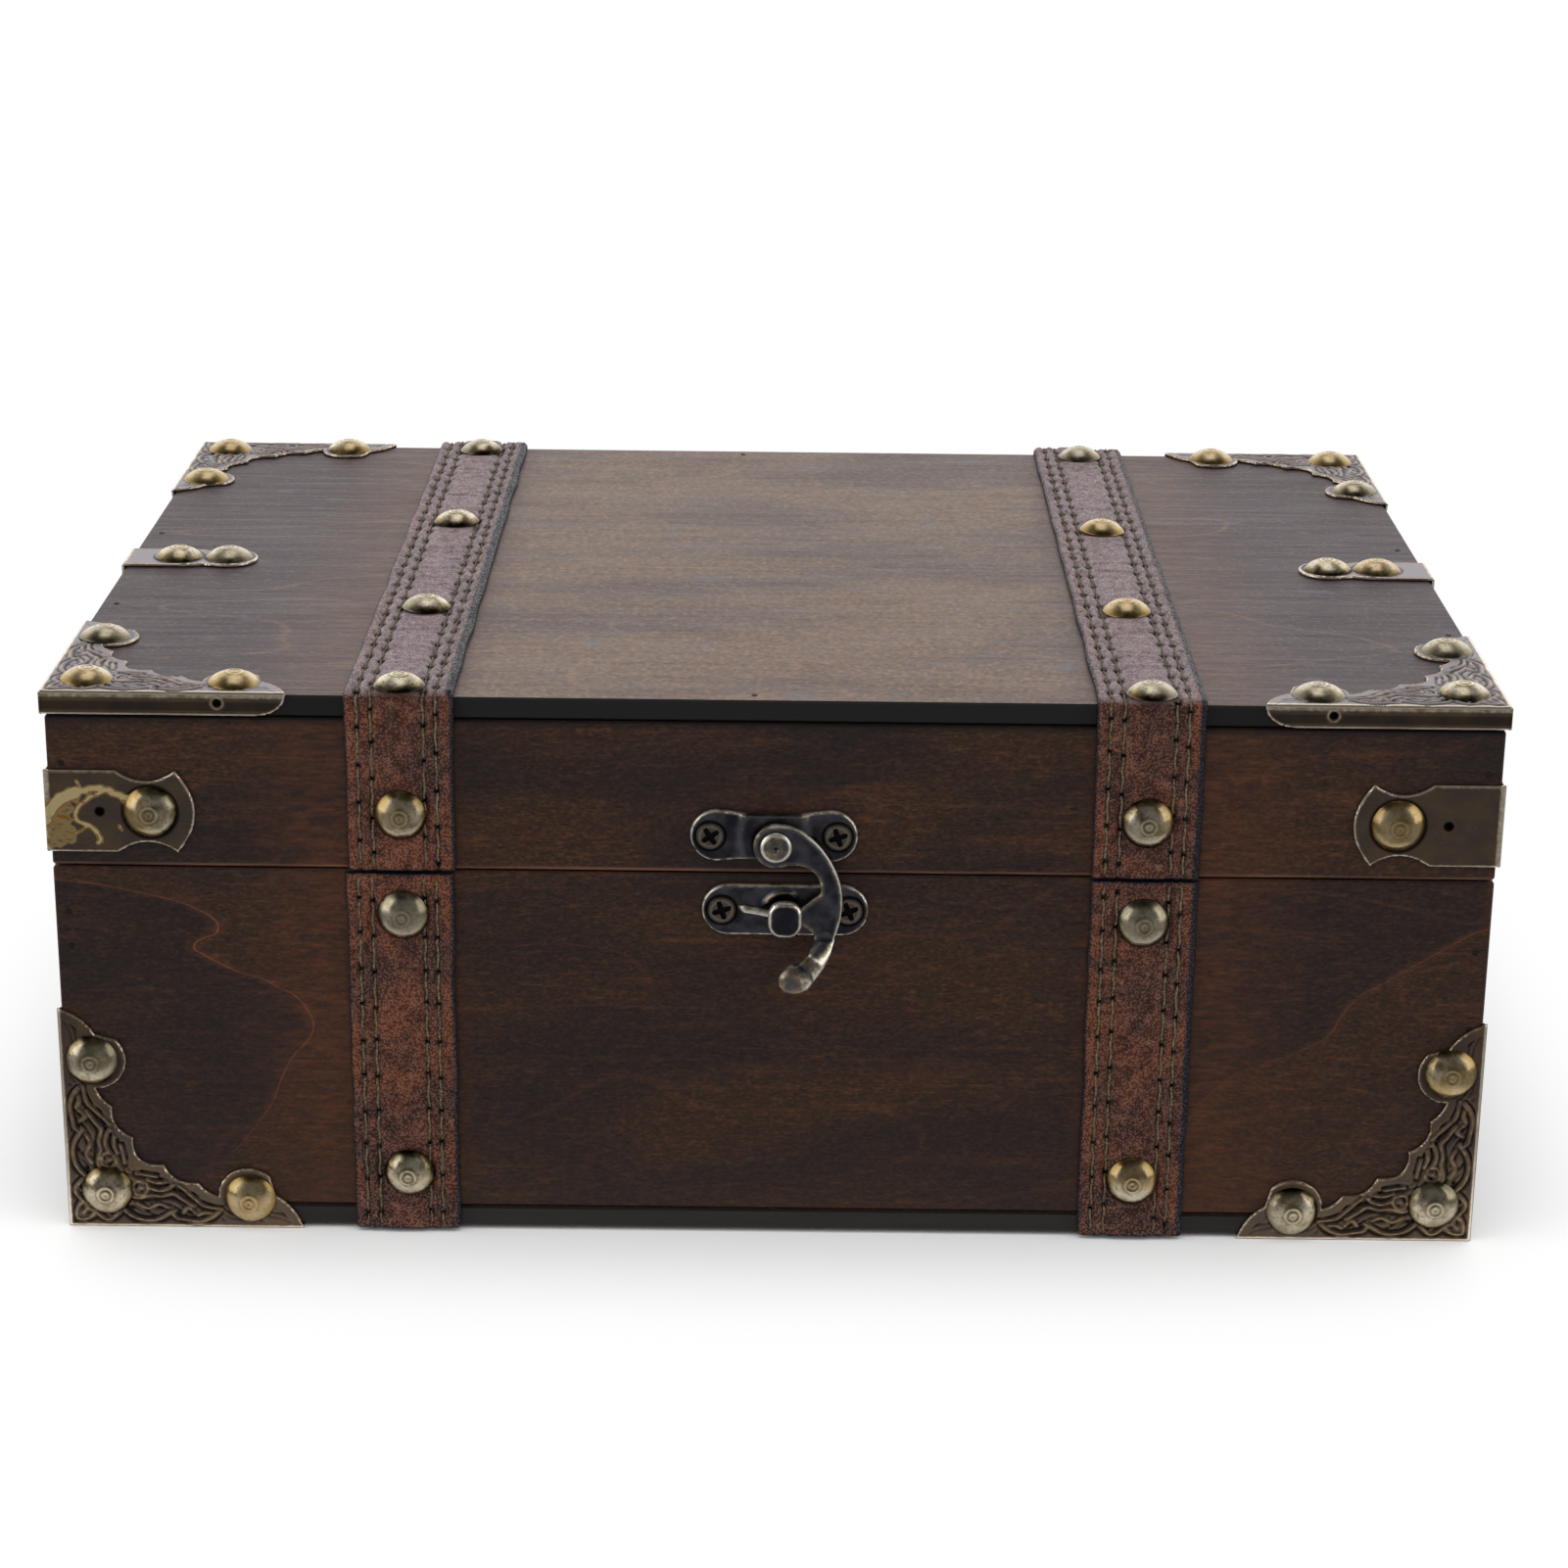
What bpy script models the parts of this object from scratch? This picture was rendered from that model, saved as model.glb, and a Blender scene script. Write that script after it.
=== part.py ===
# Wooden jewelry chest with leather straps, stamped corner brackets and a swing hook latch.
# Metres, +Z up, +X to the viewer's right, the front faces -Y. The chest stands on z = 0.

import math

import bmesh
import bpy
from mathutils import Matrix, Vector
from mathutils.geometry import interpolate_bezier

for thing in list(bpy.data.objects):
    bpy.data.objects.remove(thing, do_unlink=True)

# Wooden box: outer size, board and panel thickness
BOX_WIDTH = 0.279
BOX_DEPTH = 0.199
BOX_HEIGHT = 0.111
LID_HEIGHT = 0.035
LID_GAP = 0.0004
WALL = 0.007
PANEL = 0.0042
EASED_EDGE = 0.0004

# Gap that seated pieces keep, how far a cutter reaches past what it cuts, and how far
# shapes of one piece run into each other
SEAT_GAP = 0.0003
OVERRUN = 0.002
MERGE = 0.0002

# Sheet metal of the brackets, wrap plates and clips
METAL = 0.0005

# Stamped corner bracket: arm along each edge, folded lip, scalloped inner edge
BRACKET_ARM = 0.0462
BRACKET_ARM_STUD = 0.0354
BRACKET_TIP_BULGE = 0.0009
BRACKET_SHOULDER_SHARES = (0.884, 0.138)
BRACKET_NECK_SHARES = (0.636, 0.130)
BRACKET_OUTER_CUSP_SHARES = (0.548, 0.195)
BRACKET_INNER_CUSP_SHARES = (0.405, 0.279)
BRACKET_LOBE_ANGLES = (45, 165)
NECK_SCALLOP = 0.0004
OUTER_SCALLOP = 0.0014
INNER_SCALLOP = 0.0024
LIP_DROP = 0.0040
LIP_END = 0.0058
LIP_HOLE_FROM_CORNER = 0.0332
LIP_HOLE_DROP = 0.0015

# Fish-tailed plate wrapped round each vertical corner of the lid
WRAP_LENGTH = 0.0281
WRAP_HEIGHT = 0.0165
WRAP_ABOVE_SPLIT = 0.0032
WRAP_NECK_DIP = 0.0028
WRAP_SQUARE_SHARE = 0.466
WRAP_HORN_SHARE = 0.872
WRAP_STUD_SHARE = 0.694
WRAP_HOLE_SHARE = 0.349

# Lobed clip folded over the left and right top edges near mid depth
CLIP_FIRST_STUD = 0.0106
CLIP_STUD_SPACE = 0.0007
CLIP_DROP = 0.012
CLIP_FROM_MIDDLE = 0.0044
CLIP_LOBE_ANGLE = 115

# Dome-head nail, and the sheet left round it on a bracket or a clip
STUD_RADIUS = 0.0050
STUD_HEIGHT = 0.0030
STUD_SHANK = 0.0013
STUD_LENGTH = 0.0040
STUD_RIM = 0.0011
STUD_SIDES = 12
STUD_CROWN_SHARES = ((0.50, 0.86), (0.87, 0.45))

# Spare nail holes of the sheet metal pieces
NAIL_HOLE_RADIUS = 0.0009
NAIL_HOLE_SIDES = 6

# Leather straps, and the heights and depths of their nails
STRAP_WIDTH = 0.021
STRAP_THICKNESS = 0.0016
STRAP_FROM_BRACKET = 0.011
STRAP_INNER_BEND = 0.0006
STRAP_END_SETBACK = 0.0005
LID_STRAP_STUD = 0.0117
BASE_STRAP_UPPER_STUD = 0.0088
BASE_STRAP_LOWER_STUD = 0.0123
STRAP_EDGE_STUD_INSET = 0.0018
LEFT_STRAP_DEPTH_SHARES = (-0.221, 0.121, 0.455)
RIGHT_STRAP_DEPTH_SHARES = (-0.208, 0.113, 0.455)

# Latch: heights of its two plates from the split, their shared blank, screws
LATCH_RISE = 0.0080
LATCH_DROP = 0.0072
LATCH_PLATE_LENGTH = 0.0324
LATCH_PLATE_HEIGHT = 0.0104
LATCH_SHEET = 0.0009
LATCH_WAIST = 0.0008
LATCH_RAISED = 0.0010
LATCH_RAISED_HALF = 0.0047
LATCH_SLOPE = 0.0024
LATCH_SCREW_FROM_MIDDLE = 0.0123
LATCH_SCREW_HEAD = 0.0028
LATCH_SCREW_CROWN = 0.0006
LATCH_SCREW_SHANK = 0.0011
LATCH_SCREW_LENGTH = 0.0058
SCREW_CROWN_SHARE = 0.6

# Keeper post, a little below its plate's middle, and the pressed finger that braces it
POST_SHIFT = 0.0023
POST_DROP = 0.0005
POST_NECK = 0.0018
POST_HEAD_RADIUS = 0.0039
POST_HEAD_HALF = 0.0033
POST_HEAD = 0.0016
FINGER_LENGTH = 0.0074
FINGER_WIDTH = 0.0026

# Hook and the rivet that it turns on, a little right of and below the latch plate's middle
RIVET_SHIFT = 0.0004
RIVET_DROP = 0.0012
HOOK_SHEET = 0.0014
HOOK_EYE = 0.0044
HOOK_CLEARANCE = 0.0004
HOOK_KNOB = 0.0033
HOOK_KNOB_DEPTH = 0.0024
RIVET_SHANK = 0.0018
RIVET_HEAD = 0.0031
RIVET_CROWN = 0.0012
RIVET_DIMPLE = 0.0007
RIVET_TAIL = 0.0026
RUNNING_CLEARANCE = 0.00006

# Butt hinges let into the rims of the two back boards
HINGE_FROM_STRAP = 0.0038
HINGE_LENGTH = 0.022
HINGE_SHEET = 0.0009
HINGE_LEAF_REACH = 0.0054
HINGE_OFFSET = 0.0034
KNUCKLE_RADIUS = 0.0022
KNUCKLE_GAP = 0.0003
KNUCKLE_SHARE = 1 / 3
PIN_RADIUS = 0.0010
HINGE_SCREW_SHARE = 0.30
HINGE_SCREW_INSET = 0.0029
HINGE_SCREW_SHANK = 0.0008
HINGE_SCREW_LENGTH = 0.0060

# Facets of round pieces, and the crease above which an edge stays sharp
ROUND_SIDES = 16
SCREW_SIDES = 10
CREASE = math.radians(40)

# Depths of the latch's layers, measured out from the front boards
LATCH_FACE = SEAT_GAP + LATCH_RAISED + LATCH_SHEET
HOOK_BACK = LATCH_FACE + SEAT_GAP
HOOK_FACE = HOOK_BACK + HOOK_SHEET
POST_HEAD_BACK = HOOK_FACE + SEAT_GAP
POST_HEAD_FACE = POST_HEAD_BACK + POST_HEAD
TAIL_BACK = POST_HEAD_FACE + SEAT_GAP
FRONT_REACH = TAIL_BACK + 2 * HOOK_KNOB_DEPTH
BACK_REACH = HINGE_OFFSET + KNUCKLE_RADIUS

# Places that follow from the values above. The part is centred on its whole depth.
METAL_OUT = SEAT_GAP + METAL
STRAP_OUT = SEAT_GAP + STRAP_THICKNESS
HALF_WIDTH = BOX_WIDTH / 2
MIDDLE_Y = (FRONT_REACH - BACK_REACH) / 2
FRONT_Y = MIDDLE_Y - BOX_DEPTH / 2
BACK_Y = MIDDLE_Y + BOX_DEPTH / 2
WOOD_BOTTOM = METAL_OUT
WOOD_TOP = WOOD_BOTTOM + BOX_HEIGHT
SPLIT = WOOD_TOP - LID_HEIGHT
BASE_RIM = SPLIT - LID_GAP / 2
LID_RIM = SPLIT + LID_GAP / 2
HINGE_AXIS_Y = BACK_Y + HINGE_OFFSET
LATCH_Z = SPLIT + LATCH_RISE
KEEPER_Z = SPLIT - LATCH_DROP
HOOK_PITCH = LATCH_RISE + LATCH_DROP + POST_DROP - RIVET_DROP
STUD_INSET = STUD_RADIUS + STUD_RIM
STRAP_MIDDLE = HALF_WIDTH - BRACKET_ARM - STRAP_FROM_BRACKET - STRAP_WIDTH / 2
HINGE_MIDDLE = STRAP_MIDDLE + STRAP_WIDTH / 2 + HINGE_FROM_STRAP + HINGE_LENGTH / 2
X_AXIS = Vector((1, 0, 0))
Y_AXIS = Vector((0, 1, 0))
Z_AXIS = Vector((0, 0, 1))


def frame(origin, right, up):
    """Rotation and place of a piece whose own +X runs right, +Y up and +Z out of the face."""
    matrix = Matrix((right, up, right.cross(up))).transposed().to_4x4()
    matrix.translation = Vector(origin)
    return matrix


def on_face(face, across, along, out):
    """A place on a face, raised out of it, with +Z pointing out of the face."""
    return face @ Matrix.Translation((across, along, out))


FRONT = frame((0, FRONT_Y, 0), X_AXIS, Z_AXIS)
BACK = frame((0, BACK_Y, 0), -X_AXIS, Z_AXIS)
TOP = frame((0, MIDDLE_Y, WOOD_TOP), X_AXIS, Y_AXIS)
SIDE_ON = frame((0, 0, 0), Y_AXIS, Z_AXIS)
EDGE_ON = frame((0, 0, 0), X_AXIS, Z_AXIS)


def add_empty(name, place):
    empty = bpy.data.objects.new(name, None)
    bpy.context.collection.objects.link(empty)
    empty.location = place
    return empty


BASE = add_empty("base", (0, 0, 0))
LID = add_empty("lid", (0, HINGE_AXIS_Y, SPLIT))


def finish(name, colour, roughness, metallic):
    """A plain surface finish for one kind of material."""
    material = bpy.data.materials.new(name)
    material.use_nodes = True
    shader = material.node_tree.nodes["Principled BSDF"]
    shader.inputs["Base Color"].default_value = (*colour, 1)
    shader.inputs["Roughness"].default_value = roughness
    shader.inputs["Metallic"].default_value = metallic
    return material


WALNUT = finish("walnut_stain", (0.045, 0.022, 0.014), 0.45, 0)
PANEL_STAIN = finish("walnut_stain_panel", (0.035, 0.020, 0.014), 0.50, 0)
LEATHER = finish("strap_leather", (0.100, 0.035, 0.022), 0.55, 0)
ANTIQUE_METAL = finish("antique_bronze", (0.110, 0.085, 0.060), 0.40, 1)
NAIL_BRASS = finish("aged_brass", (0.330, 0.240, 0.110), 0.30, 1)
LATCH_METAL = finish("latch_gunmetal", (0.060, 0.055, 0.055), 0.35, 1)


def add_piece(name, mesh, material, matrix=None, parent=BASE):
    """Put a mesh in the scene as a named piece that keeps its place under its parent."""
    piece = bpy.data.objects.new(name, mesh)
    bpy.context.collection.objects.link(piece)
    if matrix is not None:
        piece.matrix_world = matrix
    piece.parent = parent
    piece.matrix_parent_inverse = Matrix.Translation(parent.location).inverted()
    if material is not None and not mesh.materials:
        mesh.materials.append(material)
        mesh.shade_smooth()
        mesh.set_sharp_from_angle(angle=CREASE)
    return piece


def add_cutter(name, mesh, matrix=None, parent=BASE):
    cutter = add_piece(name, mesh, None, matrix, parent)
    cutter.hide_render = True
    cutter.display_type = "WIRE"
    return cutter


def combine(piece, other, operation):
    """Leave a Boolean on the piece that cuts it with, joins it to or trims it by another."""
    modifier = piece.modifiers.new(f"{operation} {other.name}".lower(), "BOOLEAN")
    modifier.operation = operation
    modifier.object = other
    modifier.solver = "EXACT"


def mesh_from(name, build):
    """Make a mesh by running build on an empty bmesh, with its faces turned outward."""
    shape = bmesh.new()
    build(shape)
    bmesh.ops.recalc_face_normals(shape, faces=shape.faces)
    mesh = bpy.data.meshes.new(name)
    shape.to_mesh(mesh)
    shape.free()
    return mesh


def joined(name, solids, holes=()):
    """One closed mesh: the Boolean union of several shapes, less the holes."""
    pieces = []
    for number, build in enumerate((*solids, *holes)):
        piece = bpy.data.objects.new(f"{name}_{number}", mesh_from(f"{name}_{number}", build))
        bpy.context.collection.objects.link(piece)
        pieces.append(piece)
    for number, other in enumerate(pieces[1:], 1):
        combine(pieces[0], other, "UNION" if number < len(solids) else "DIFFERENCE")
    depsgraph = bpy.context.evaluated_depsgraph_get()
    mesh = bpy.data.meshes.new_from_object(pieces[0].evaluated_get(depsgraph))
    mesh.name = name
    for piece in pieces:
        bpy.data.objects.remove(piece, do_unlink=True)
    return mesh


def add_block(shape, low, high, matrix=None):
    """A block between two corners."""
    low, high = Vector(low), Vector(high)
    fit = Matrix.Translation((low + high) / 2) @ Matrix.Diagonal((*(high - low), 1))
    bmesh.ops.create_cube(shape, size=1, matrix=fit if matrix is None else matrix @ fit)


def add_prism(shape, outline, low, high, matrix=None):
    """An outline in the piece's own XY plane, made solid from z = low to z = high."""
    lower = [shape.verts.new((x, y, low)) for x, y in outline]
    raised = bmesh.ops.extrude_face_region(shape, geom=[shape.faces.new(lower)])["geom"]
    upper = [item for item in raised if isinstance(item, bmesh.types.BMVert)]
    bmesh.ops.translate(shape, verts=upper, vec=(0, 0, high - low))
    if matrix is not None:
        bmesh.ops.transform(shape, matrix=matrix, verts=lower + upper)


def circle_points(centre, radius, first, last, steps):
    """Points on a circle from one angle to another, in degrees."""
    points = []
    for step in range(steps + 1):
        angle = math.radians(first + (last - first) * step / steps)
        points.append(Vector(centre) + radius * Vector((math.cos(angle), math.sin(angle))))
    return points


def arc_points(start, end, bulge, steps):
    """Points after start up to end, on an arc that bulges to the left of the way there."""
    start, end = Vector(start), Vector(end)
    chord = end - start
    half = chord.length / 2
    side = 1 if bulge > 0 else -1
    radius = (half * half + bulge * bulge) / (2 * abs(bulge))
    left = Vector((-chord.y, chord.x)).normalized() * side
    centre = (start + end) / 2 + left * (abs(bulge) - radius)
    first = math.degrees(math.atan2(start.y - centre.y, start.x - centre.x))
    sweep = math.degrees(2 * math.asin(min(1, half / radius)))
    return circle_points(centre, radius, first, first - side * sweep, steps)[1:]


def add_turned(shape, profile, sides, matrix=None):
    """A turned solid. The profile runs from its top point on the axis to its bottom point."""
    rings = []
    for radius, height in profile:
        points = circle_points((0, 0), radius, 0, 360, sides)[:-1] if radius else [Vector((0, 0))]
        rings.append([shape.verts.new((point.x, point.y, height)) for point in points])
    for upper, lower in zip(rings, rings[1:]):
        for step in range(sides):
            after = (step + 1) % sides
            above = [upper[0]] if len(upper) == 1 else [upper[step], upper[after]]
            below = [lower[0]] if len(lower) == 1 else [lower[after], lower[step]]
            shape.faces.new(above + below)
    if matrix is not None:
        verts = [vert for ring in rings for vert in ring]
        bmesh.ops.transform(shape, matrix=matrix, verts=verts)


def add_bar(shape, radius, low, high, sides, matrix=None):
    """A plain round bar along the piece's own Z axis."""
    add_turned(shape, ((0, high), (radius, high), (radius, low), (0, low)), sides, matrix)


# Dome-head nails: each piece of metal carries its own, and each strap has separate ones
def add_head(shape, place):
    crown = [(STUD_RADIUS * wide, STUD_HEIGHT * high) for wide, high in STUD_CROWN_SHARES]
    add_turned(shape, [(0, STUD_HEIGHT), *crown, (STUD_RADIUS, 0), (0, 0)], STUD_SIDES, place)


def add_shank(shape, place, grow=0):
    """The square shank, or with grow the hole that it leaves."""
    half = STUD_SHANK / 2 + grow
    top = OVERRUN if grow else STUD_HEIGHT / 2
    add_block(shape, (-half, -half, -STUD_LENGTH - grow), (half, half, top), place)


def nail_solids(places):
    heads = [lambda shape, place=place: add_head(shape, place) for place in places]
    return heads + [lambda shape, place=place: add_shank(shape, place) for place in places]


def nail_hole(place):
    """A spare hole through a sheet, for a nail that was never driven."""
    return lambda shape: add_bar(
        shape, NAIL_HOLE_RADIUS, -OVERRUN, OVERRUN, NAIL_HOLE_SIDES, place
    )


lid_nails = []
base_nails = []

# Frames of the lid's four corners at a height given later, seen from above
LID_CORNERS = {
    "front_left": ((-HALF_WIDTH, FRONT_Y), X_AXIS, Y_AXIS),
    "front_right": ((HALF_WIDTH, FRONT_Y), Y_AXIS, -X_AXIS),
    "back_left": ((-HALF_WIDTH, BACK_Y), -Y_AXIS, X_AXIS),
    "back_right": ((HALF_WIDTH, BACK_Y), -X_AXIS, -Y_AXIS),
}

# Frames of the base's four lower corners, seen from the front or from the back
BASE_CORNERS = {
    "front_left": ((-HALF_WIDTH, FRONT_Y), X_AXIS, Z_AXIS),
    "front_right": ((HALF_WIDTH, FRONT_Y), Z_AXIS, -X_AXIS),
    "back_left": ((-HALF_WIDTH, BACK_Y), Z_AXIS, X_AXIS),
    "back_right": ((HALF_WIDTH, BACK_Y), -X_AXIS, Z_AXIS),
}


# Corner brackets: one stamping, three nails, used on the lid's top and the base's front and back
def bracket_plate_outline():
    """Half of the scalloped plate from its corner to the diagonal, then its mirror image."""
    tip = Vector((BRACKET_ARM, -METAL_OUT))
    outer_cusp = BRACKET_ARM * Vector(BRACKET_OUTER_CUSP_SHARES)
    inner_cusp = BRACKET_ARM * Vector(BRACKET_INNER_CUSP_SHARES)
    neck = BRACKET_ARM * Vector(BRACKET_NECK_SHARES)
    lobe = (BRACKET_ARM_STUD, STUD_INSET)
    half = [Vector((-METAL_OUT, -METAL_OUT)), tip]
    half += arc_points(tip, BRACKET_ARM * Vector(BRACKET_SHOULDER_SHARES), -BRACKET_TIP_BULGE, 3)
    half += circle_points(lobe, STUD_INSET, *BRACKET_LOBE_ANGLES, 6) + [neck]
    half += arc_points(neck, outer_cusp, NECK_SCALLOP, 2)
    half += arc_points(outer_cusp, inner_cusp, OUTER_SCALLOP, 3)
    mirrored = [Vector((point.y, point.x)) for point in reversed(half[1:])]
    return half + arc_points(inner_cusp, mirrored[0], INNER_SCALLOP, 4)[:-1] + mirrored


def lip_outline():
    """Folded lip: along the arm and down from the plate's outer face, with a rounded end."""
    outline = [Vector((-METAL_OUT, METAL_OUT)), Vector((BRACKET_ARM, METAL_OUT))]
    for point in circle_points((0, 0), 1, 0, 90, 4)[1:]:
        along = BRACKET_ARM - LIP_END + LIP_END * point.x
        outline.append(Vector((along, METAL_OUT - (METAL_OUT + LIP_DROP) * point.y)))
    return outline + [Vector((-METAL_OUT, -LIP_DROP))]


def make_brackets():
    plate = bracket_plate_outline()
    lip = lip_outline()
    corner_stud = STUD_INSET + STUD_RIM
    stud_places = (
        (corner_stud, corner_stud),
        (BRACKET_ARM_STUD, STUD_INSET),
        (STUD_INSET, BRACKET_ARM_STUD),
    )
    nails = [Matrix.Translation((x, y, METAL_OUT - MERGE)) for x, y in stud_places]
    # One lip faces the bracket's own -Y, the other its own -X
    lips = (
        (frame((0, -SEAT_GAP, 0), X_AXIS, Z_AXIS)),
        (frame((-METAL_OUT, 0, 0), Y_AXIS, Z_AXIS)),
    )
    solids = [lambda shape: add_prism(shape, plate, SEAT_GAP, METAL_OUT)]
    solids += [lambda shape, place=place: add_prism(shape, lip, 0, METAL, place) for place in lips]
    holes = [nail_hole(on_face(lip, LIP_HOLE_FROM_CORNER, -LIP_HOLE_DROP, 0)) for lip in lips]
    mesh = joined("corner_bracket", solids + nail_solids(nails), holes)
    for body, corners, height, parent, nailed in (
        ("lid", LID_CORNERS, WOOD_TOP, LID, lid_nails),
        ("base", BASE_CORNERS, WOOD_BOTTOM, BASE, base_nails),
    ):
        for name, (corner, right, up) in corners.items():
            place = frame((*corner, height), right, up)
            add_piece(f"{body}_corner_{name}", mesh, ANTIQUE_METAL, place, parent)
            nailed.extend(place @ nail for nail in nails)


# Wrap plates: a fish-tailed leg on each side of a vertical corner of the lid
def wrap_leg_outline():
    half = WRAP_HEIGHT / 2
    square = WRAP_LENGTH * WRAP_SQUARE_SHARE
    horn = WRAP_LENGTH * WRAP_HORN_SHARE
    reach = (horn - square) / 3
    dip = half - WRAP_NECK_DIP
    corners = ((square, half), (square + reach, dip), (horn - reach, dip), (horn, half))
    neck = interpolate_bezier(*(Vector(corner).to_3d() for corner in corners), 6)
    upper = [Vector((-METAL_OUT, half))] + [point.to_2d() for point in neck]
    tail = arc_points(upper[-1], (horn, -half), WRAP_LENGTH - horn, 6)[:-1]
    return upper + tail + [Vector((point.x, -point.y)) for point in reversed(upper)]


def make_wrap_plates():
    outline = wrap_leg_outline()
    # Each leg's frame starts at the wooden edge, with +Z out of the wood
    front_leg = frame((0, 0, 0), X_AXIS, Z_AXIS)
    side_leg = frame((0, 0, 0), -Y_AXIS, Z_AXIS)
    side_outline = [Vector((-point.x, point.y)) for point in outline]
    stud = WRAP_LENGTH * WRAP_STUD_SHARE
    spare = WRAP_LENGTH * WRAP_HOLE_SHARE
    nail_out = METAL_OUT - MERGE
    nails = (on_face(front_leg, stud, 0, nail_out), on_face(side_leg, -stud, 0, nail_out))
    solids = (
        lambda shape: add_prism(shape, outline, SEAT_GAP, METAL_OUT, front_leg),
        lambda shape: add_prism(shape, side_outline, SEAT_GAP, METAL_OUT, side_leg),
        *nail_solids(nails),
    )
    holes = (nail_hole(on_face(front_leg, spare, 0, 0)), nail_hole(on_face(side_leg, -spare, 0, 0)))
    mesh = joined("wrap_plate", solids, holes)
    height = SPLIT + WRAP_ABOVE_SPLIT + WRAP_HEIGHT / 2
    for name, (corner, right, up) in LID_CORNERS.items():
        place = frame((*corner, height), right, up)
        add_piece(f"lid_wrap_{name}", mesh, ANTIQUE_METAL, place, LID)
        lid_nails.extend(place @ nail for nail in nails)


# Side clips: a lobed strip on the top with two nails, folded down over the side
def make_clips():
    second = CLIP_FIRST_STUD + 2 * STUD_RADIUS + CLIP_STUD_SPACE
    waist = (CLIP_FIRST_STUD + second) / 2
    half = [Vector((-METAL_OUT, STUD_INSET)), Vector((CLIP_FIRST_STUD, STUD_INSET))]
    half.append(Vector((waist, STUD_INSET - STUD_RIM)))
    half += circle_points((second, 0), STUD_INSET, CLIP_LOBE_ANGLE, 0, 5)
    top = half + [Vector((point.x, -point.y)) for point in reversed(half[:-1])]
    fold = [Vector((STUD_INSET, METAL_OUT)), Vector((-STUD_INSET, METAL_OUT))]
    fold += circle_points((0, STUD_INSET - CLIP_DROP), STUD_INSET, 180, 360, 6)
    # The folded leg faces the clip's own -X
    side_leg = frame((-SEAT_GAP, 0, 0), -Y_AXIS, Z_AXIS)
    nail_out = METAL_OUT - MERGE
    nails = [Matrix.Translation((along, 0, nail_out)) for along in (CLIP_FIRST_STUD, second)]
    solids = (
        lambda shape: add_prism(shape, top, SEAT_GAP, METAL_OUT),
        lambda shape: add_prism(shape, fold, 0, METAL, side_leg),
        *nail_solids(nails),
    )
    mesh = joined("side_clip", solids)
    for name, sign in (("left", -1), ("right", 1)):
        right = -sign * X_AXIS
        edge = (sign * HALF_WIDTH, MIDDLE_Y - CLIP_FROM_MIDDLE, WOOD_TOP)
        place = frame(edge, right, Z_AXIS.cross(right))
        add_piece(f"lid_clip_{name}", mesh, ANTIQUE_METAL, place, LID)
        lid_nails.extend(place @ nail for nail in nails)


# Straps: each lid strap runs up the front, over the top and down the back
def lid_strap_section():
    """Section of a lid strap across the box's depth and height, from its middle depth."""
    inner = BOX_DEPTH / 2 + SEAT_GAP
    bend = STRAP_INNER_BEND
    foot = LID_RIM + STRAP_END_SETBACK
    centre = Vector((inner - bend, WOOD_TOP + SEAT_GAP - bend))
    over = [Vector((inner + STRAP_THICKNESS, foot))]
    over += circle_points(centre, bend + STRAP_THICKNESS, 0, 90, 4)
    under = [Vector((inner, foot))] + circle_points(centre, bend, 0, 90, 2)
    outline = over + [Vector((-point.x, point.y)) for point in reversed(over)]
    return outline + [Vector((-point.x, point.y)) for point in under] + under[::-1]


def make_straps():
    """Two lid straps, four base straps and their separate nails."""
    section = lid_strap_section()
    half = STRAP_WIDTH / 2
    foot, head = WOOD_BOTTOM + STRAP_END_SETBACK, BASE_RIM - STRAP_END_SETBACK
    low, high = (-half, foot, SEAT_GAP), (half, head, STRAP_OUT)
    lid_mesh = mesh_from("lid_strap", lambda shape: add_prism(shape, section, -half, half))
    base_mesh = mesh_from("base_strap", lambda shape: add_block(shape, low, high))
    nail_mesh = joined("strap_nail", nail_solids((Matrix(),)))
    out = STRAP_OUT + SEAT_GAP
    lid_straps, base_straps = [], []
    for side, sign, shares in (
        ("left", -1, LEFT_STRAP_DEPTH_SHARES),
        ("right", 1, RIGHT_STRAP_DEPTH_SHARES),
    ):
        across = sign * STRAP_MIDDLE
        place = frame((across, MIDDLE_Y, 0), Y_AXIS, Z_AXIS)
        lid_straps.append(add_piece(f"lid_strap_{side}", lid_mesh, LEATHER, place, LID))
        depths = [STRAP_EDGE_STUD_INSET - BOX_DEPTH / 2] + [share * BOX_DEPTH for share in shares]
        nails = {
            f"top_{number}": on_face(TOP, across, depth, out)
            for number, depth in enumerate(depths, 1)
        }
        for name, face, turned in (("front", FRONT, across), ("back", BACK, -across)):
            nails[name] = on_face(face, turned, SPLIT + LID_STRAP_STUD, out)
            strap_name = f"base_strap_{name}_{side}"
            strap_place = on_face(face, turned, 0, 0)
            base_straps.append(add_piece(strap_name, base_mesh, LEATHER, strap_place))
            for end, height in (
                ("upper", SPLIT - BASE_STRAP_UPPER_STUD),
                ("lower", WOOD_BOTTOM + BASE_STRAP_LOWER_STUD),
            ):
                nail = on_face(face, turned, height, out)
                add_piece(f"base_nail_{name}_{side}_{end}", nail_mesh, NAIL_BRASS, nail)
                base_nails.append(nail)
        for name, nail in nails.items():
            add_piece(f"lid_nail_{side}_{name}", nail_mesh, NAIL_BRASS, nail, LID)
        lid_nails.extend(nails.values())
    return lid_straps, base_straps


# Boards: the front and back boards cover the ends of the side boards
def make_board(name, low, high, parent, material=WALNUT):
    mesh = mesh_from(name, lambda shape: add_block(shape, low, high))
    board = add_piece(name, mesh, material, None, parent)
    bevel = board.modifiers.new("eased edges", "BEVEL")
    bevel.width = EASED_EDGE
    bevel.segments = 1
    return board


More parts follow.
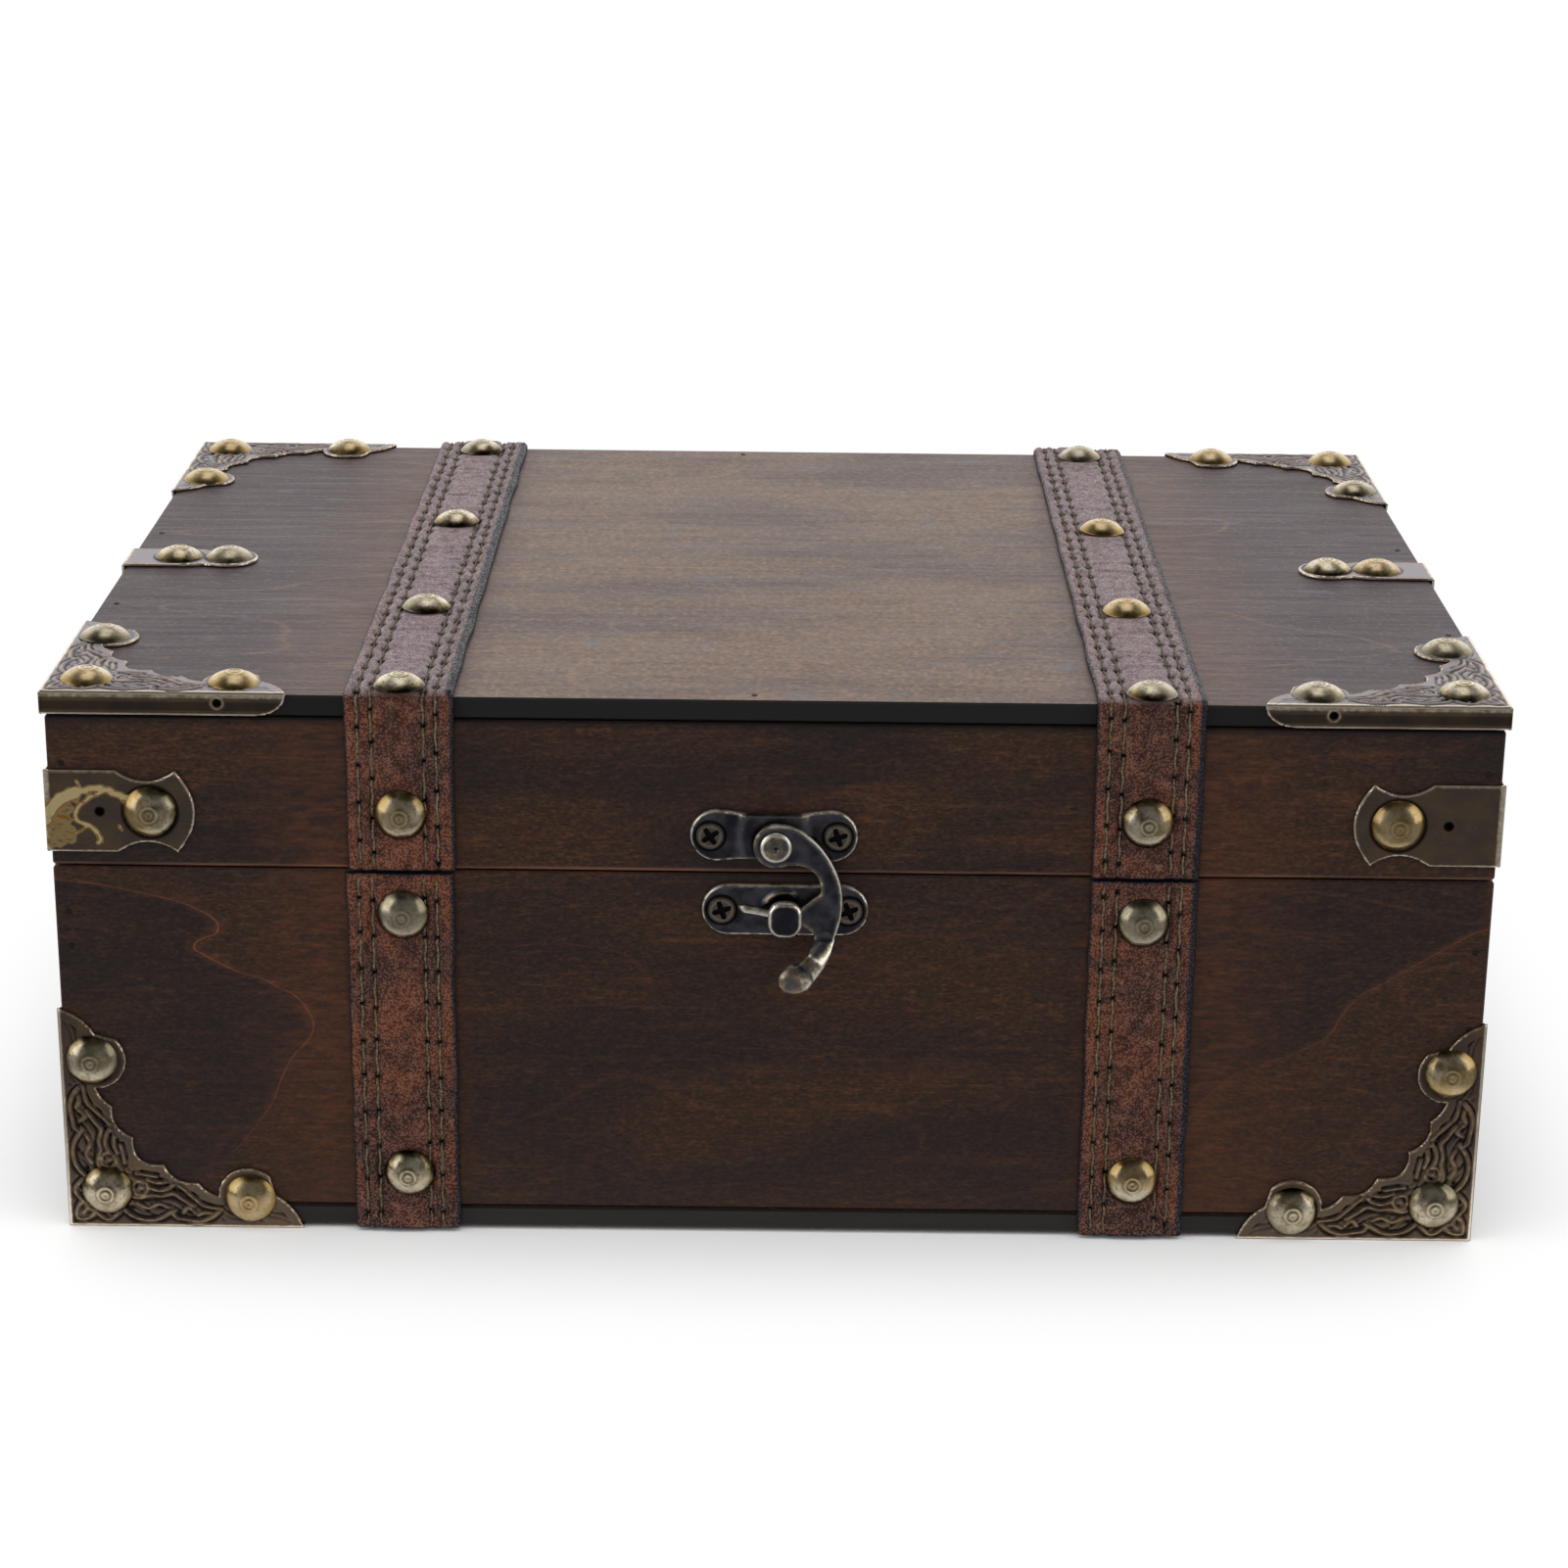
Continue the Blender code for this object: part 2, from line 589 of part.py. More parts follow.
def make_box(body, parent, low, high):
    inner = HALF_WIDTH - WALL
    front, back = FRONT_Y + WALL, BACK_Y - WALL
    walls = {
        "front": ((-HALF_WIDTH, FRONT_Y, low), (HALF_WIDTH, front, high)),
        "back": ((-HALF_WIDTH, back, low), (HALF_WIDTH, BACK_Y, high)),
        "left": ((-HALF_WIDTH, front + SEAT_GAP, low), (-inner, back - SEAT_GAP, high)),
        "right": ((inner, front + SEAT_GAP, low), (HALF_WIDTH, back - SEAT_GAP, high)),
    }
    return {
        name: make_board(f"{body}_{name}_board", *ends, parent) for name, ends in walls.items()
    }


def make_panel(name, low, parent):
    ends = (-HALF_WIDTH, FRONT_Y, low), (HALF_WIDTH, BACK_Y, low + PANEL)
    return make_board(name, *ends, parent, PANEL_STAIN)


def cut_nail_holes(name, places, parent, pieces):
    """One cutter for each body makes the holes of all its nails."""

    def build(shape):
        for place in places:
            add_shank(shape, place, SEAT_GAP)

    holes = add_cutter(name, mesh_from(name, build), None, parent)
    for piece in pieces:
        combine(piece, holes, "DIFFERENCE")


base_boards = make_box("base", BASE, WOOD_BOTTOM + PANEL + SEAT_GAP, BASE_RIM)
lid_boards = make_box("lid", LID, LID_RIM, WOOD_TOP - PANEL - SEAT_GAP)
bottom_panel = make_panel("base_bottom_panel", WOOD_BOTTOM, BASE)
top_panel = make_panel("lid_top_panel", WOOD_TOP - PANEL, LID)
make_brackets()
make_wrap_plates()
make_clips()
lid_straps, base_straps = make_straps()
lid_nailed = (*lid_boards.values(), top_panel, *lid_straps)
base_nailed = (*base_boards.values(), bottom_panel, *base_straps)
cut_nail_holes("lid_nail_holes", lid_nails, LID, lid_nailed)
cut_nail_holes("base_nail_holes", base_nails, BASE, base_nailed)


# Screws are one with the sheet that they hold; a cutter makes their holes in the wood
def screw_solids(places, shank, length):
    """Shanks that start inside the sheet, whose outer face is each place's origin."""
    return [
        lambda shape, place=place: add_bar(shape, shank, -length, -MERGE, SCREW_SIDES, place)
        for place in places
    ]


def cut_screw_holes(name, places, shank, length, parent, board):
    def build(shape):
        for place in places:
            low = -length - SEAT_GAP
            add_bar(shape, shank + SEAT_GAP, low, OVERRUN, SCREW_SIDES, place)

    holes = add_cutter(name, mesh_from(name, build), None, parent)
    combine(board, holes, "DIFFERENCE")


# Latch: both plates are the same blank; the upper one is pressed up in its middle
LATCH_PLACE = on_face(FRONT, 0, LATCH_Z, 0)
RIVET_PLACE = on_face(LATCH_PLACE, RIVET_SHIFT, -RIVET_DROP, 0)
KEEPER_PLACE = on_face(FRONT, POST_SHIFT, KEEPER_Z, 0)
LATCH_SCREWS = [
    Matrix.Translation((sign * LATCH_SCREW_FROM_MIDDLE, 0, SEAT_GAP + LATCH_SHEET))
    for sign in (-1, 1)
]


def latch_plate_outline(waist):
    radius = LATCH_PLATE_HEIGHT / 2
    upper = circle_points((LATCH_PLATE_LENGTH / 2 - radius, 0), radius, 0, 90, 4)
    if waist:
        upper.append(Vector((LATCH_RAISED_HALF, radius - waist)))
    right = [Vector((point.x, -point.y)) for point in reversed(upper[1:])] + upper
    return right + [Vector((-point.x, -point.y)) for point in right]


def latch_screw_solids():
    """Domed heads on the sheet and the shanks below them."""
    head = LATCH_SCREW_HEAD
    crown = (
        (0, LATCH_SCREW_CROWN),
        (head * SCREW_CROWN_SHARE, LATCH_SCREW_CROWN),
        (head, 0),
        (head, -MERGE),
        (0, -MERGE),
    )
    heads = [
        lambda shape, place=place: add_turned(shape, crown, SCREW_SIDES, place)
        for place in LATCH_SCREWS
    ]
    return heads + screw_solids(LATCH_SCREWS, LATCH_SCREW_SHANK, LATCH_SCREW_LENGTH)


def bent_strip():
    """Edge view of a strip that steps up in its middle, longer than the plate."""
    half, far, end = LATCH_RAISED_HALF, LATCH_RAISED_HALF + LATCH_SLOPE, LATCH_PLATE_LENGTH
    right = [Vector((half, LATCH_RAISED)), Vector((far, 0)), Vector((end, 0))]
    left = [Vector((-point.x, point.y)) for point in reversed(right)]
    under = [point + Vector((0, SEAT_GAP)) for point in left + right]
    return under + [point + Vector((0, LATCH_SHEET)) for point in reversed(under)]


def make_latch_plate():
    """The pinched outline trims the bent strip; screws and the rivet's hole follow."""
    outline = latch_plate_outline(LATCH_WAIST)
    strip = bent_strip()
    high = LATCH_PLATE_HEIGHT
    flat = mesh_from("latch_plate", lambda shape: add_prism(shape, outline, 0, HOOK_FACE))
    bent = mesh_from("latch_strip", lambda shape: add_prism(shape, strip, -high, high, EDGE_ON))
    plate = add_piece("latch_plate", flat, LATCH_METAL, LATCH_PLACE, LID)
    combine(plate, add_cutter("latch_strip", bent, LATCH_PLACE, LID), "INTERSECT")
    for number, build in enumerate(latch_screw_solids(), 1):
        name = f"latch_screw_shape_{number}"
        guide = add_cutter(name, mesh_from(name, build), LATCH_PLACE, LID)
        combine(plate, guide, "UNION")
    hole = mesh_from(
        "rivet_hole",
        lambda shape: add_bar(shape, RIVET_SHANK + SEAT_GAP, 0, HOOK_FACE, ROUND_SIDES),
    )
    combine(plate, add_cutter("rivet_hole", hole, RIVET_PLACE, LID), "DIFFERENCE")


def make_rivet():
    """Dimpled head over the hook, shank through hook and plate, flange behind the plate."""
    seat = HOOK_FACE + SEAT_GAP
    profile = (
        (0, seat + RIVET_CROWN - RIVET_DIMPLE),
        (RIVET_HEAD / 2, seat + RIVET_CROWN),
        (RIVET_HEAD, seat + RIVET_CROWN / 2),
        (RIVET_HEAD, seat),
        (RIVET_SHANK, seat),
        (RIVET_SHANK, LATCH_RAISED),
        (RIVET_TAIL, LATCH_RAISED),
        (RIVET_TAIL, SEAT_GAP),
        (0, SEAT_GAP),
    )
    mesh = mesh_from("latch_rivet", lambda shape: add_turned(shape, profile, ROUND_SIDES))
    add_piece("latch_rivet", mesh, LATCH_METAL, RIVET_PLACE, LID)


# Hook outline as shares of the pitch from the rivet to the post
HOOK_OUTER_SHARES = ((0.063, 0.297), (0.461, 0.303), (0.891, -0.280), (0.891, -0.760))
HOOK_HEEL_SHARES = ((0.891, -0.760), (0.891, -0.950), (0.859, -1.120), (0.802, -1.260))
HOOK_WRIST_SHARES = (0.524, -1.240)
HOOK_CROOK_SHARES = ((0.595, -0.665), (0.625, -0.480), (0.545, -0.330), (0.314, -0.262))
HOOK_TIP_SHARES = (-0.915, -1.050)
HOOK_EYE_ANGLES = (-62, -282)

# Sections of the tail: across, down and outward place, half width, and slant in degrees
HOOK_TAIL_SHARES = (
    (0.662, -1.210, 0.00, 0.136),
    (0.652, -1.320, 0.12, 0.124),
    (0.616, -1.430, 0.45, 0.110),
    (0.547, -1.535, 0.80, 0.105),
    (0.445, -1.640, 0.97, 0.110),
    (0.325, -1.735, 1.00, 0.115),
)
HOOK_TAIL_SLANTS = (4, -2, -16, -34, -46, -52)
TAIL_SECTION_SHARES = (
    (1.0, -0.5),
    (1.0, 0.5),
    (0.7, 1.0),
    (-0.7, 1.0),
    (-1.0, 0.5),
    (-1.0, -0.5),
    (-0.7, -1.0),
    (0.7, -1.0),
)
HOOK_KNOB_SHARES = (0.275, -1.770)


def curve_points(shares, steps):
    corners = [(HOOK_PITCH * Vector(share)).to_3d() for share in shares]
    return [point.to_2d() for point in interpolate_bezier(*corners, steps)]


def hook_flat_outline():
    """Eye, outer sweep, wrist, tooth that reaches behind the post's head, inner crook."""
    tooth = POST_SHIFT - RIVET_SHIFT + POST_NECK + HOOK_CLEARANCE
    outer = curve_points(HOOK_OUTER_SHARES, 9)[1:]
    heel = curve_points(HOOK_HEEL_SHARES, 5)[1:]
    wrist = HOOK_PITCH * Vector(HOOK_WRIST_SHARES)
    tip = [Vector((tooth, HOOK_PITCH * share)) for share in reversed(HOOK_TIP_SHARES)]
    crook = curve_points(HOOK_CROOK_SHARES, 6)
    eye = circle_points((0, 0), HOOK_EYE, *HOOK_EYE_ANGLES, 12)
    return outer + heel + [wrist] + tip + crook + eye


def add_tail(shape):
    """Loft of flat sections that swing outward in front of the post's head."""
    start = (HOOK_BACK + HOOK_FACE) / 2
    rise = TAIL_BACK + HOOK_KNOB_DEPTH - start
    rings = []
    for (across, down, out, half), slant in zip(HOOK_TAIL_SHARES, HOOK_TAIL_SLANTS):
        centre = Vector((across * HOOK_PITCH, down * HOOK_PITCH, start + out * rise))
        angle = math.radians(slant)
        wide = half * HOOK_PITCH * Vector((math.cos(angle), math.sin(angle), 0))
        lean = 4 * out * (1 - out)
        thick = HOOK_SHEET / 2 * Vector((0, lean, 1)).normalized()
        rings.append([centre + wide * w + thick * t for w, t in TAIL_SECTION_SHARES])
    rings = [[shape.verts.new(point) for point in ring] for ring in rings]
    for lower, upper in zip(rings, rings[1:]):
        for step in range(len(lower)):
            after = (step + 1) % len(lower)
            shape.faces.new((lower[step], lower[after], upper[after], upper[step]))
    shape.faces.new(rings[0])
    shape.faces.new(rings[-1])


def add_knob(shape):
    centre = HOOK_PITCH * Vector(HOOK_KNOB_SHARES)
    place = Matrix.Translation((*centre, TAIL_BACK + HOOK_KNOB_DEPTH))
    half_circle = circle_points((0, 0), 1, 90, -90, 6)[1:-1]
    profile = [(HOOK_KNOB * point.x, HOOK_KNOB_DEPTH * point.y) for point in half_circle]
    profile = [(0, HOOK_KNOB_DEPTH), *profile, (0, -HOOK_KNOB_DEPTH)]
    add_turned(shape, profile, ROUND_SIDES, place)


def make_hook():
    flat = hook_flat_outline()
    # The flats of the bore keep the running clearance to the corners of the rivet's shank
    bore = (RIVET_SHANK + RUNNING_CLEARANCE) / math.cos(math.pi / ROUND_SIDES)
    solids = (lambda shape: add_prism(shape, flat, HOOK_BACK, HOOK_FACE), add_tail, add_knob)
    holes = (lambda shape: add_bar(shape, bore, 0, HOOK_FACE + OVERRUN, ROUND_SIDES),)
    add_piece("latch_hook", joined("latch_hook", solids, holes), LATCH_METAL, RIVET_PLACE, LID)


def make_keeper():
    """Flat plate with a post; a pressed finger rises to brace the post's neck."""
    outline = latch_plate_outline(0)
    post = Matrix.Translation((0, -POST_DROP, 0))
    face = SEAT_GAP + LATCH_SHEET
    flank = POST_HEAD_HALF
    head = [
        Vector((max(-flank, min(flank, point.x)), point.y))
        for point in circle_points((0, 0), POST_HEAD_RADIUS, 0, 360, ROUND_SIDES)[:-1]
    ]
    rise = (face + POST_HEAD_BACK) / 2
    finger = [(-FINGER_LENGTH, SEAT_GAP), (0, SEAT_GAP), (0, rise), (-FINGER_LENGTH, face)]
    wide = FINGER_WIDTH / 2
    neck_top = POST_HEAD_FACE - MERGE
    solids = (
        lambda shape: add_prism(shape, outline, SEAT_GAP, face),
        lambda shape: add_bar(shape, POST_NECK, SEAT_GAP, neck_top, ROUND_SIDES, post),
        lambda shape: add_prism(shape, head, POST_HEAD_BACK, POST_HEAD_FACE, post),
        lambda shape: add_prism(shape, finger, -wide, wide, post @ EDGE_ON),
        *latch_screw_solids(),
    )
    add_piece("latch_keeper", joined("latch_keeper", solids), LATCH_METAL, KEEPER_PLACE)


make_latch_plate()
make_rivet()
make_hook()
make_keeper()
for name, latch_place, parent, board in (
    ("latch_screw_holes", LATCH_PLACE, LID, lid_boards["front"]),
    ("keeper_screw_holes", KEEPER_PLACE, BASE, base_boards["front"]),
):
    screws = [latch_place @ screw for screw in LATCH_SCREWS]
    cut_screw_holes(name, screws, LATCH_SCREW_SHANK, LATCH_SCREW_LENGTH, parent, board)

# Hinges: a leaf's own frame has its origin on the pin, +X along it, +Y back, +Z off the rim
LEAF_BACK = -LID_GAP / 2 - HINGE_SHEET
LEAF_FACE = -LID_GAP / 2
LEAF_NEAR = -HINGE_OFFSET - HINGE_LEAF_REACH
LEAF_FAR = -KNUCKLE_RADIUS - SEAT_GAP
SCREW_Y = -HINGE_OFFSET - HINGE_SCREW_INSET
HINGE_SCREWS = [
    Matrix.Translation((turn * HINGE_SCREW_SHARE * HINGE_LENGTH, SCREW_Y, LEAF_FACE))
    for turn in (-1, 1)
]


def hinge_bar(radius, low, high):
    return lambda shape: add_bar(shape, radius, low, high, ROUND_SIDES, SIDE_ON)


def leaf_mesh(name, spans):
    """A leaf whose tongues curl into knuckles, with its two countersunk screws."""
    half = HINGE_LENGTH / 2
    sheet = (-half, LEAF_NEAR, LEAF_BACK), (half, LEAF_FAR, LEAF_FACE)
    solids = [lambda shape: add_block(shape, *sheet)]
    for first, last in spans:
        tongue = (first, LEAF_FAR - MERGE, LEAF_BACK), (last, 0, LEAF_FACE)
        solids.append(lambda shape, tongue=tongue: add_block(shape, *tongue))
        solids.append(hinge_bar(KNUCKLE_RADIUS, first, last))
    solids += screw_solids(HINGE_SCREWS, HINGE_SCREW_SHANK, HINGE_SCREW_LENGTH)
    bore = (PIN_RADIUS + RUNNING_CLEARANCE) / math.cos(math.pi / ROUND_SIDES)
    return joined(name, solids, [hinge_bar(bore, -half - OVERRUN, half + OVERRUN)])


def make_hinges():
    half = HINGE_LENGTH / 2
    edge = half - HINGE_LENGTH * KNUCKLE_SHARE
    gap = KNUCKLE_GAP / 2
    base_leaf = leaf_mesh("base_leaf", ((-half, -edge - gap), (edge + gap, half)))
    lid_leaf = leaf_mesh("lid_leaf", ((gap - edge, edge - gap),))
    pin = mesh_from("hinge_pin", hinge_bar(PIN_RADIUS, -half, half))
    low = (-half - SEAT_GAP, LEAF_NEAR - SEAT_GAP, LEAF_BACK - SEAT_GAP)
    high = (half + SEAT_GAP, 0, OVERRUN)
    mortise = mesh_from("mortise", lambda shape: add_block(shape, low, high))
    over = Matrix.Rotation(math.pi, 4, "Y")
    for side, sign in (("left", -1), ("right", 1)):
        upright = Matrix.Translation((sign * HINGE_MIDDLE, HINGE_AXIS_Y, SPLIT))
        add_piece(f"hinge_pin_{side}", pin, NAIL_BRASS, upright)
        for body, leaf, place, parent, board in (
            ("base", base_leaf, upright, BASE, base_boards["back"]),
            ("lid", lid_leaf, upright @ over, LID, lid_boards["back"]),
        ):
            add_piece(f"hinge_{body}_leaf_{side}", leaf, NAIL_BRASS, place, parent)
            seat = add_cutter(f"{body}_mortise_{side}", mortise, place, parent)
            combine(board, seat, "DIFFERENCE")
            holes = f"{body}_hinge_screw_holes_{side}"
            screws = [place @ screw for screw in HINGE_SCREWS]
            cut_screw_holes(holes, screws, HINGE_SCREW_SHANK, HINGE_SCREW_LENGTH, parent, board)


make_hinges()
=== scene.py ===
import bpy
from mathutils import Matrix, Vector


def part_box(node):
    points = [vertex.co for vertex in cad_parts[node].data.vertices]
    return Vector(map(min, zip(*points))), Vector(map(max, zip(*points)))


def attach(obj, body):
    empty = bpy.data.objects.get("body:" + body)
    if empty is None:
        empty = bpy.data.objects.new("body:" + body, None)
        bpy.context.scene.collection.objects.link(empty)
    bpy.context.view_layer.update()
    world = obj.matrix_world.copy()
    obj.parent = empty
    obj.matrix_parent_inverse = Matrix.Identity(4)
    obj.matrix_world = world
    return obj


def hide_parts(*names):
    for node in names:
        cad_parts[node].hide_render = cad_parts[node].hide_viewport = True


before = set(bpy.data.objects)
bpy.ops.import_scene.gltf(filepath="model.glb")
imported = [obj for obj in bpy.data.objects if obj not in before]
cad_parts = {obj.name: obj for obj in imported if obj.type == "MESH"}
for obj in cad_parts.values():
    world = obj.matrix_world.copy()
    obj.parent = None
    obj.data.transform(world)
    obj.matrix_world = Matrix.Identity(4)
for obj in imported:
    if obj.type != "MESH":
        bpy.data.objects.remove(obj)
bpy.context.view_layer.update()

import math
from functools import partial

import bpy
import numpy as np
from mathutils import Matrix, Vector
from mathutils.geometry import delaunay_2d_cdt, interpolate_bezier

# Box boards. Pale 7 mm plywood, glued and pinned at the corners as one closed box, sawn into
# base and lid, stained walnut and wiped with one thin coat of satin varnish.
MM = 0.001
HALF_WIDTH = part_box("base_front_board")[1].x / MM
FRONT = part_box("base_front_board")[0].y / MM
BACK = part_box("base_back_board")[1].y / MM
MIDDLE = (FRONT + BACK) / 2
WOOD_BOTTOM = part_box("base_bottom_panel")[0].z / MM
WOOD_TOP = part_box("lid_top_panel")[1].z / MM
BASE_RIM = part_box("base_front_board")[1].z / MM
LID_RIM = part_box("lid_front_board")[0].z / MM
SPLIT = (BASE_RIM + LID_RIM) / 2
WALL = 7.0
STAIN_COOL = "#221818"
STAIN_WARM = "#331f12"
STAIN_FLECK = "#5b371b"
STAIN_STREAK = "#532c12"
STAIN_PORE = "#120c0c"
STAIN_LINE = "#8a4a1e"
STAIN_RUBBED = "#7a5646"
STAIN_INSIDE = "#432c1e"
PANEL_COOL = "#332229"
PANEL_WARM = "#614937"
PANEL_FLECK = "#8a6b50"
PANEL_PORE = "#29201f"
PANEL_BLUE = "#4c5160"
# Warm brown of the panel beside the straps: a painted reflection of the straps
PANEL_STRAP_REFLECTION = "#6b4526"
SAWN_EDGE = "#110d0e"
SAWN_BELOW = "#17110f"


def linear(code):
    """An sRGB hex value as a linear colour."""
    channels = [int(code[start:start + 2], 16) / 255 for start in (1, 3, 5)]
    curve = [c / 12.92 if c <= 0.04045 else ((c + 0.055) / 1.055) ** 2.4 for c in channels]
    return (*curve, 1.0)


def wire(node, inputs):
    """Set a node's sockets: a socket is linked, a hex colour or a number is written in."""
    for key, value in inputs.items():
        if isinstance(key, int):
            socket = node.inputs[key]
        else:
            socket = next(s for s in node.inputs if s.enabled and s.name == key)
        if isinstance(value, bpy.types.NodeSocket):
            node.id_data.links.new(value, socket)
        else:
            socket.default_value = linear(value) if isinstance(value, str) else value


def add_node(tree, kind, inputs, out=None, stops=(), **settings):
    """Add a node with its settings and links, and give back the socket that it feeds. Stops are
    the points of its drawn curve."""
    node = tree.nodes.new(f"ShaderNode{kind}")
    for name, value in settings.items():
        setattr(node, name, value)
    if stops:
        line = node.mapping.curves[0].points
        line[0].location, line[1].location = (0, stops[0][1]), (1, stops[-1][1])
        for stop in stops:
            line.new(*stop)
        node.mapping.update()
    wire(node, inputs)
    return next(s for s in node.outputs if s.enabled and out in (None, s.name))


def new_finish(name, **sockets):
    """A surface finish with its even values on the shader's own sockets, the shader, and the
    call that adds nodes to it."""
    finish = bpy.data.materials.new(name)
    finish.use_nodes = True
    shader = finish.node_tree.nodes["Principled BSDF"]
    wire(shader, {key.replace("_", " "): value for key, value in sockets.items()})
    return finish, shader, partial(add_node, finish.node_tree)


def stained_wood(name, turn, panel=False, lines=()):
    """Walnut stain on rotary-cut veneer: cool and warm patches, short flecks and dark pores.
    Turn lays the grain along the board. Each line is a growth line on the front: the side it
    starts from, how warm the wood beyond it is, how strong it shows, and its points."""
    finish, shader, add = new_finish(name, Specular_IOR_Level=0.22)
    place = add("TexCoord", {}, "Object")
    grain = add("Mapping", {"Vector": place, "Rotation": (0, 0, turn)})
    look = {}
    for part, size, detail in (
        ("patch", (60, 24, 18), 3),
        ("streak", (26, 1.5, 1.5), 3),
        ("fleck", (3.6, 0.8, 0.8), 3),
        ("speck", (1.0, 1.1, 0.5) if panel else (1.0, 0.5, 0.5), 2),
        ("pore", (2.6, 0.4, 0.4), 1),
        ("spot", (10, 7, 4), 1),
        ("wave", (110, 34, 34), 1),
    ):
        scale = tuple(1 / (side * MM) for side in size)
        laid = add("Mapping", {"Vector": grain, "Scale": scale, "Location": (size[0],) * 3})
        look[part] = add("TexNoise", {"Vector": laid, "Scale": 1.0, "Detail": detail})
    x, y, z = (add("SeparateXYZ", {0: place}, side) for side in "XYZ")
    off_middle = add("Math", {0: x}, operation="ABSOLUTE")
    facing = add("SeparateXYZ", {0: add("TexCoord", {}, "Normal")}, "Z")
    if panel:
        outer = add("Math", {0: z, 1: SPLIT * MM}, operation="SUBTRACT")
        outer = add("Math", {0: outer, 1: facing}, operation="MULTIPLY")
        inside = add("Math", {0: outer, 1: 0.0}, operation="LESS_THAN")
    else:
        inside = 1.0
        centred = add("VectorMath", {0: place, 1: (0, MIDDLE * MM, 0)}, operation="SUBTRACT")
        centred = add("VectorMath", {0: centred}, operation="ABSOLUTE")
        for side, half in (("X", HALF_WIDTH), ("Y", (BACK - FRONT) / 2)):
            reach = add("SeparateXYZ", {0: centred}, side)
            within_wall = {0: reach, 1: (half - WALL + 0.2) * MM}
            within_wall = add("Math", within_wall, operation="LESS_THAN")
            inside = add("Math", {0: inside, 1: within_wall}, operation="MULTIPLY")
    outside = add("Math", {0: 1.0, 1: inside}, operation="SUBTRACT")
    warmth = add("MapRange", {0: look["patch"], 1: 0.36, 2: 0.64}, interpolation_type="SMOOTHSTEP")
    # Growth lines: contours of a slow wave across the peeled sheet
    contour = add("Math", {0: look["wave"], 1: 9.0}, operation="MULTIPLY")
    contour = add("Math", {0: contour, 1: 1.0}, operation="PINGPONG")
    drawn = add("MapRange", {0: contour, 1: 0.0, 2: 0.045, 3: 0.3 if panel else 0.06, 4: 0.0})
    if panel:
        # The stain is wiped thinner between the straps
        thin = add("MapRange", {0: off_middle, 1: 56 * MM, 2: 66 * MM, 3: 1.0, 4: 0.0})
        shine = add("MapRange", {0: thin, 3: 0.34, 4: 0.4})
        wire(shader, {"Specular IOR Level": shine})
        warmth = add("MapRange", {0: warmth, 3: 0.4, 4: 1.0})
        warmth = add("Math", {0: warmth, 1: thin}, operation="MULTIPLY")
        warmth = {"Factor": inside, "A": warmth, "B": 0.35}
        warmth = add("Mix", warmth, data_type="FLOAT")
        layers = (
            ("speck", 0.5, 0.74, 0.6, PANEL_FLECK),
            ("speck", 0.5, 0.28, 0.55, PANEL_PORE),
            ("fleck", 0.55, 0.75, 0.16, PANEL_FLECK),
            ("streak", 0.5, 0.3, 0.18, PANEL_COOL),
            ("spot", 0.66, 0.76, 0.4, PANEL_BLUE),
        )
    else:
        layers = (
            ("streak", 0.56, 0.74, 0.4, STAIN_STREAK),
            ("fleck", 0.55, 0.75, 0.4, STAIN_FLECK),
            ("speck", 0.5, 0.72, 0.34, STAIN_FLECK),
            ("speck", 0.5, 0.3, 0.4, STAIN_PORE),
            ("pore", 0.36, 0.27, 0.55, STAIN_PORE),
        )
        on_front = add("Math", {0: y, 1: 0.0}, operation="LESS_THAN")
        on_base = add("Math", {0: z, 1: SPLIT * MM}, operation="LESS_THAN")
        drawn_on = add("Math", {0: on_front, 1: on_base}, operation="MULTIPLY")
        drawn_on = add("Math", {0: drawn_on, 1: outside}, operation="MULTIPLY")
        height = add("Math", {0: z, 1: 80 * MM}, operation="DIVIDE")
        for sign, beyond, strength, points in lines:
            stops = [(up / 80, across / 60) for up, across in points]
            line = add("FloatCurve", {"Value": height}, stops=stops)
            line = add("Math", {0: line, 1: 60 * MM}, operation="MULTIPLY")
            inward = {0: x, 1: float(-sign), 2: HALF_WIDTH * MM}
            inward = add("Math", inward, operation="MULTIPLY_ADD")
            past = add("Math", {0: inward, 1: line}, operation="SUBTRACT")
            near = add("Math", {0: past}, operation="ABSOLUTE")
            side = {0: past, 1: -1.2 * MM, 2: 2.5 * MM, 3: 1.0 - beyond, 4: beyond}
            side = add("MapRange", side, interpolation_type="SMOOTHSTEP")
            share = add("MapRange", {0: near, 1: 14 * MM, 2: 40 * MM, 3: 0.85, 4: 0.15})
            share = add("Math", {0: share, 1: drawn_on}, operation="MULTIPLY")
            warmth = add("Mix", {"Factor": share, "A": warmth, "B": side}, data_type="FLOAT")
            ink = add("MapRange", {0: near, 1: 0.05 * MM, 2: 0.34 * MM, 3: strength, 4: 0.0})
            glow = add("MapRange", {0: near, 1: 0.2 * MM, 2: 2.6 * MM, 3: strength * 0.18, 4: 0.0})
            ink = add("Math", {0: ink, 1: glow}, operation="MAXIMUM")
            faded = {0: z, 1: 12 * MM, 2: 55 * MM, 3: 0.1, 4: 1.0}
            ink = add("Math", {0: ink, 1: add("MapRange", faded)}, operation="MULTIPLY")
            ink = add("Math", {0: ink, 1: drawn_on}, operation="MULTIPLY")
            drawn = add("Math", {0: drawn, 1: ink}, operation="MAXIMUM")
    cool, warm = (PANEL_COOL, PANEL_WARM) if panel else (STAIN_COOL, STAIN_WARM)
    colour = add("Mix", {"Factor": warmth, "A": cool, "B": warm}, data_type="RGBA")
    plain = add("Math", {0: inside, 1: 0.8}, operation="MULTIPLY")
    colour = add("Mix", {"Factor": plain, "A": colour, "B": STAIN_INSIDE}, data_type="RGBA")
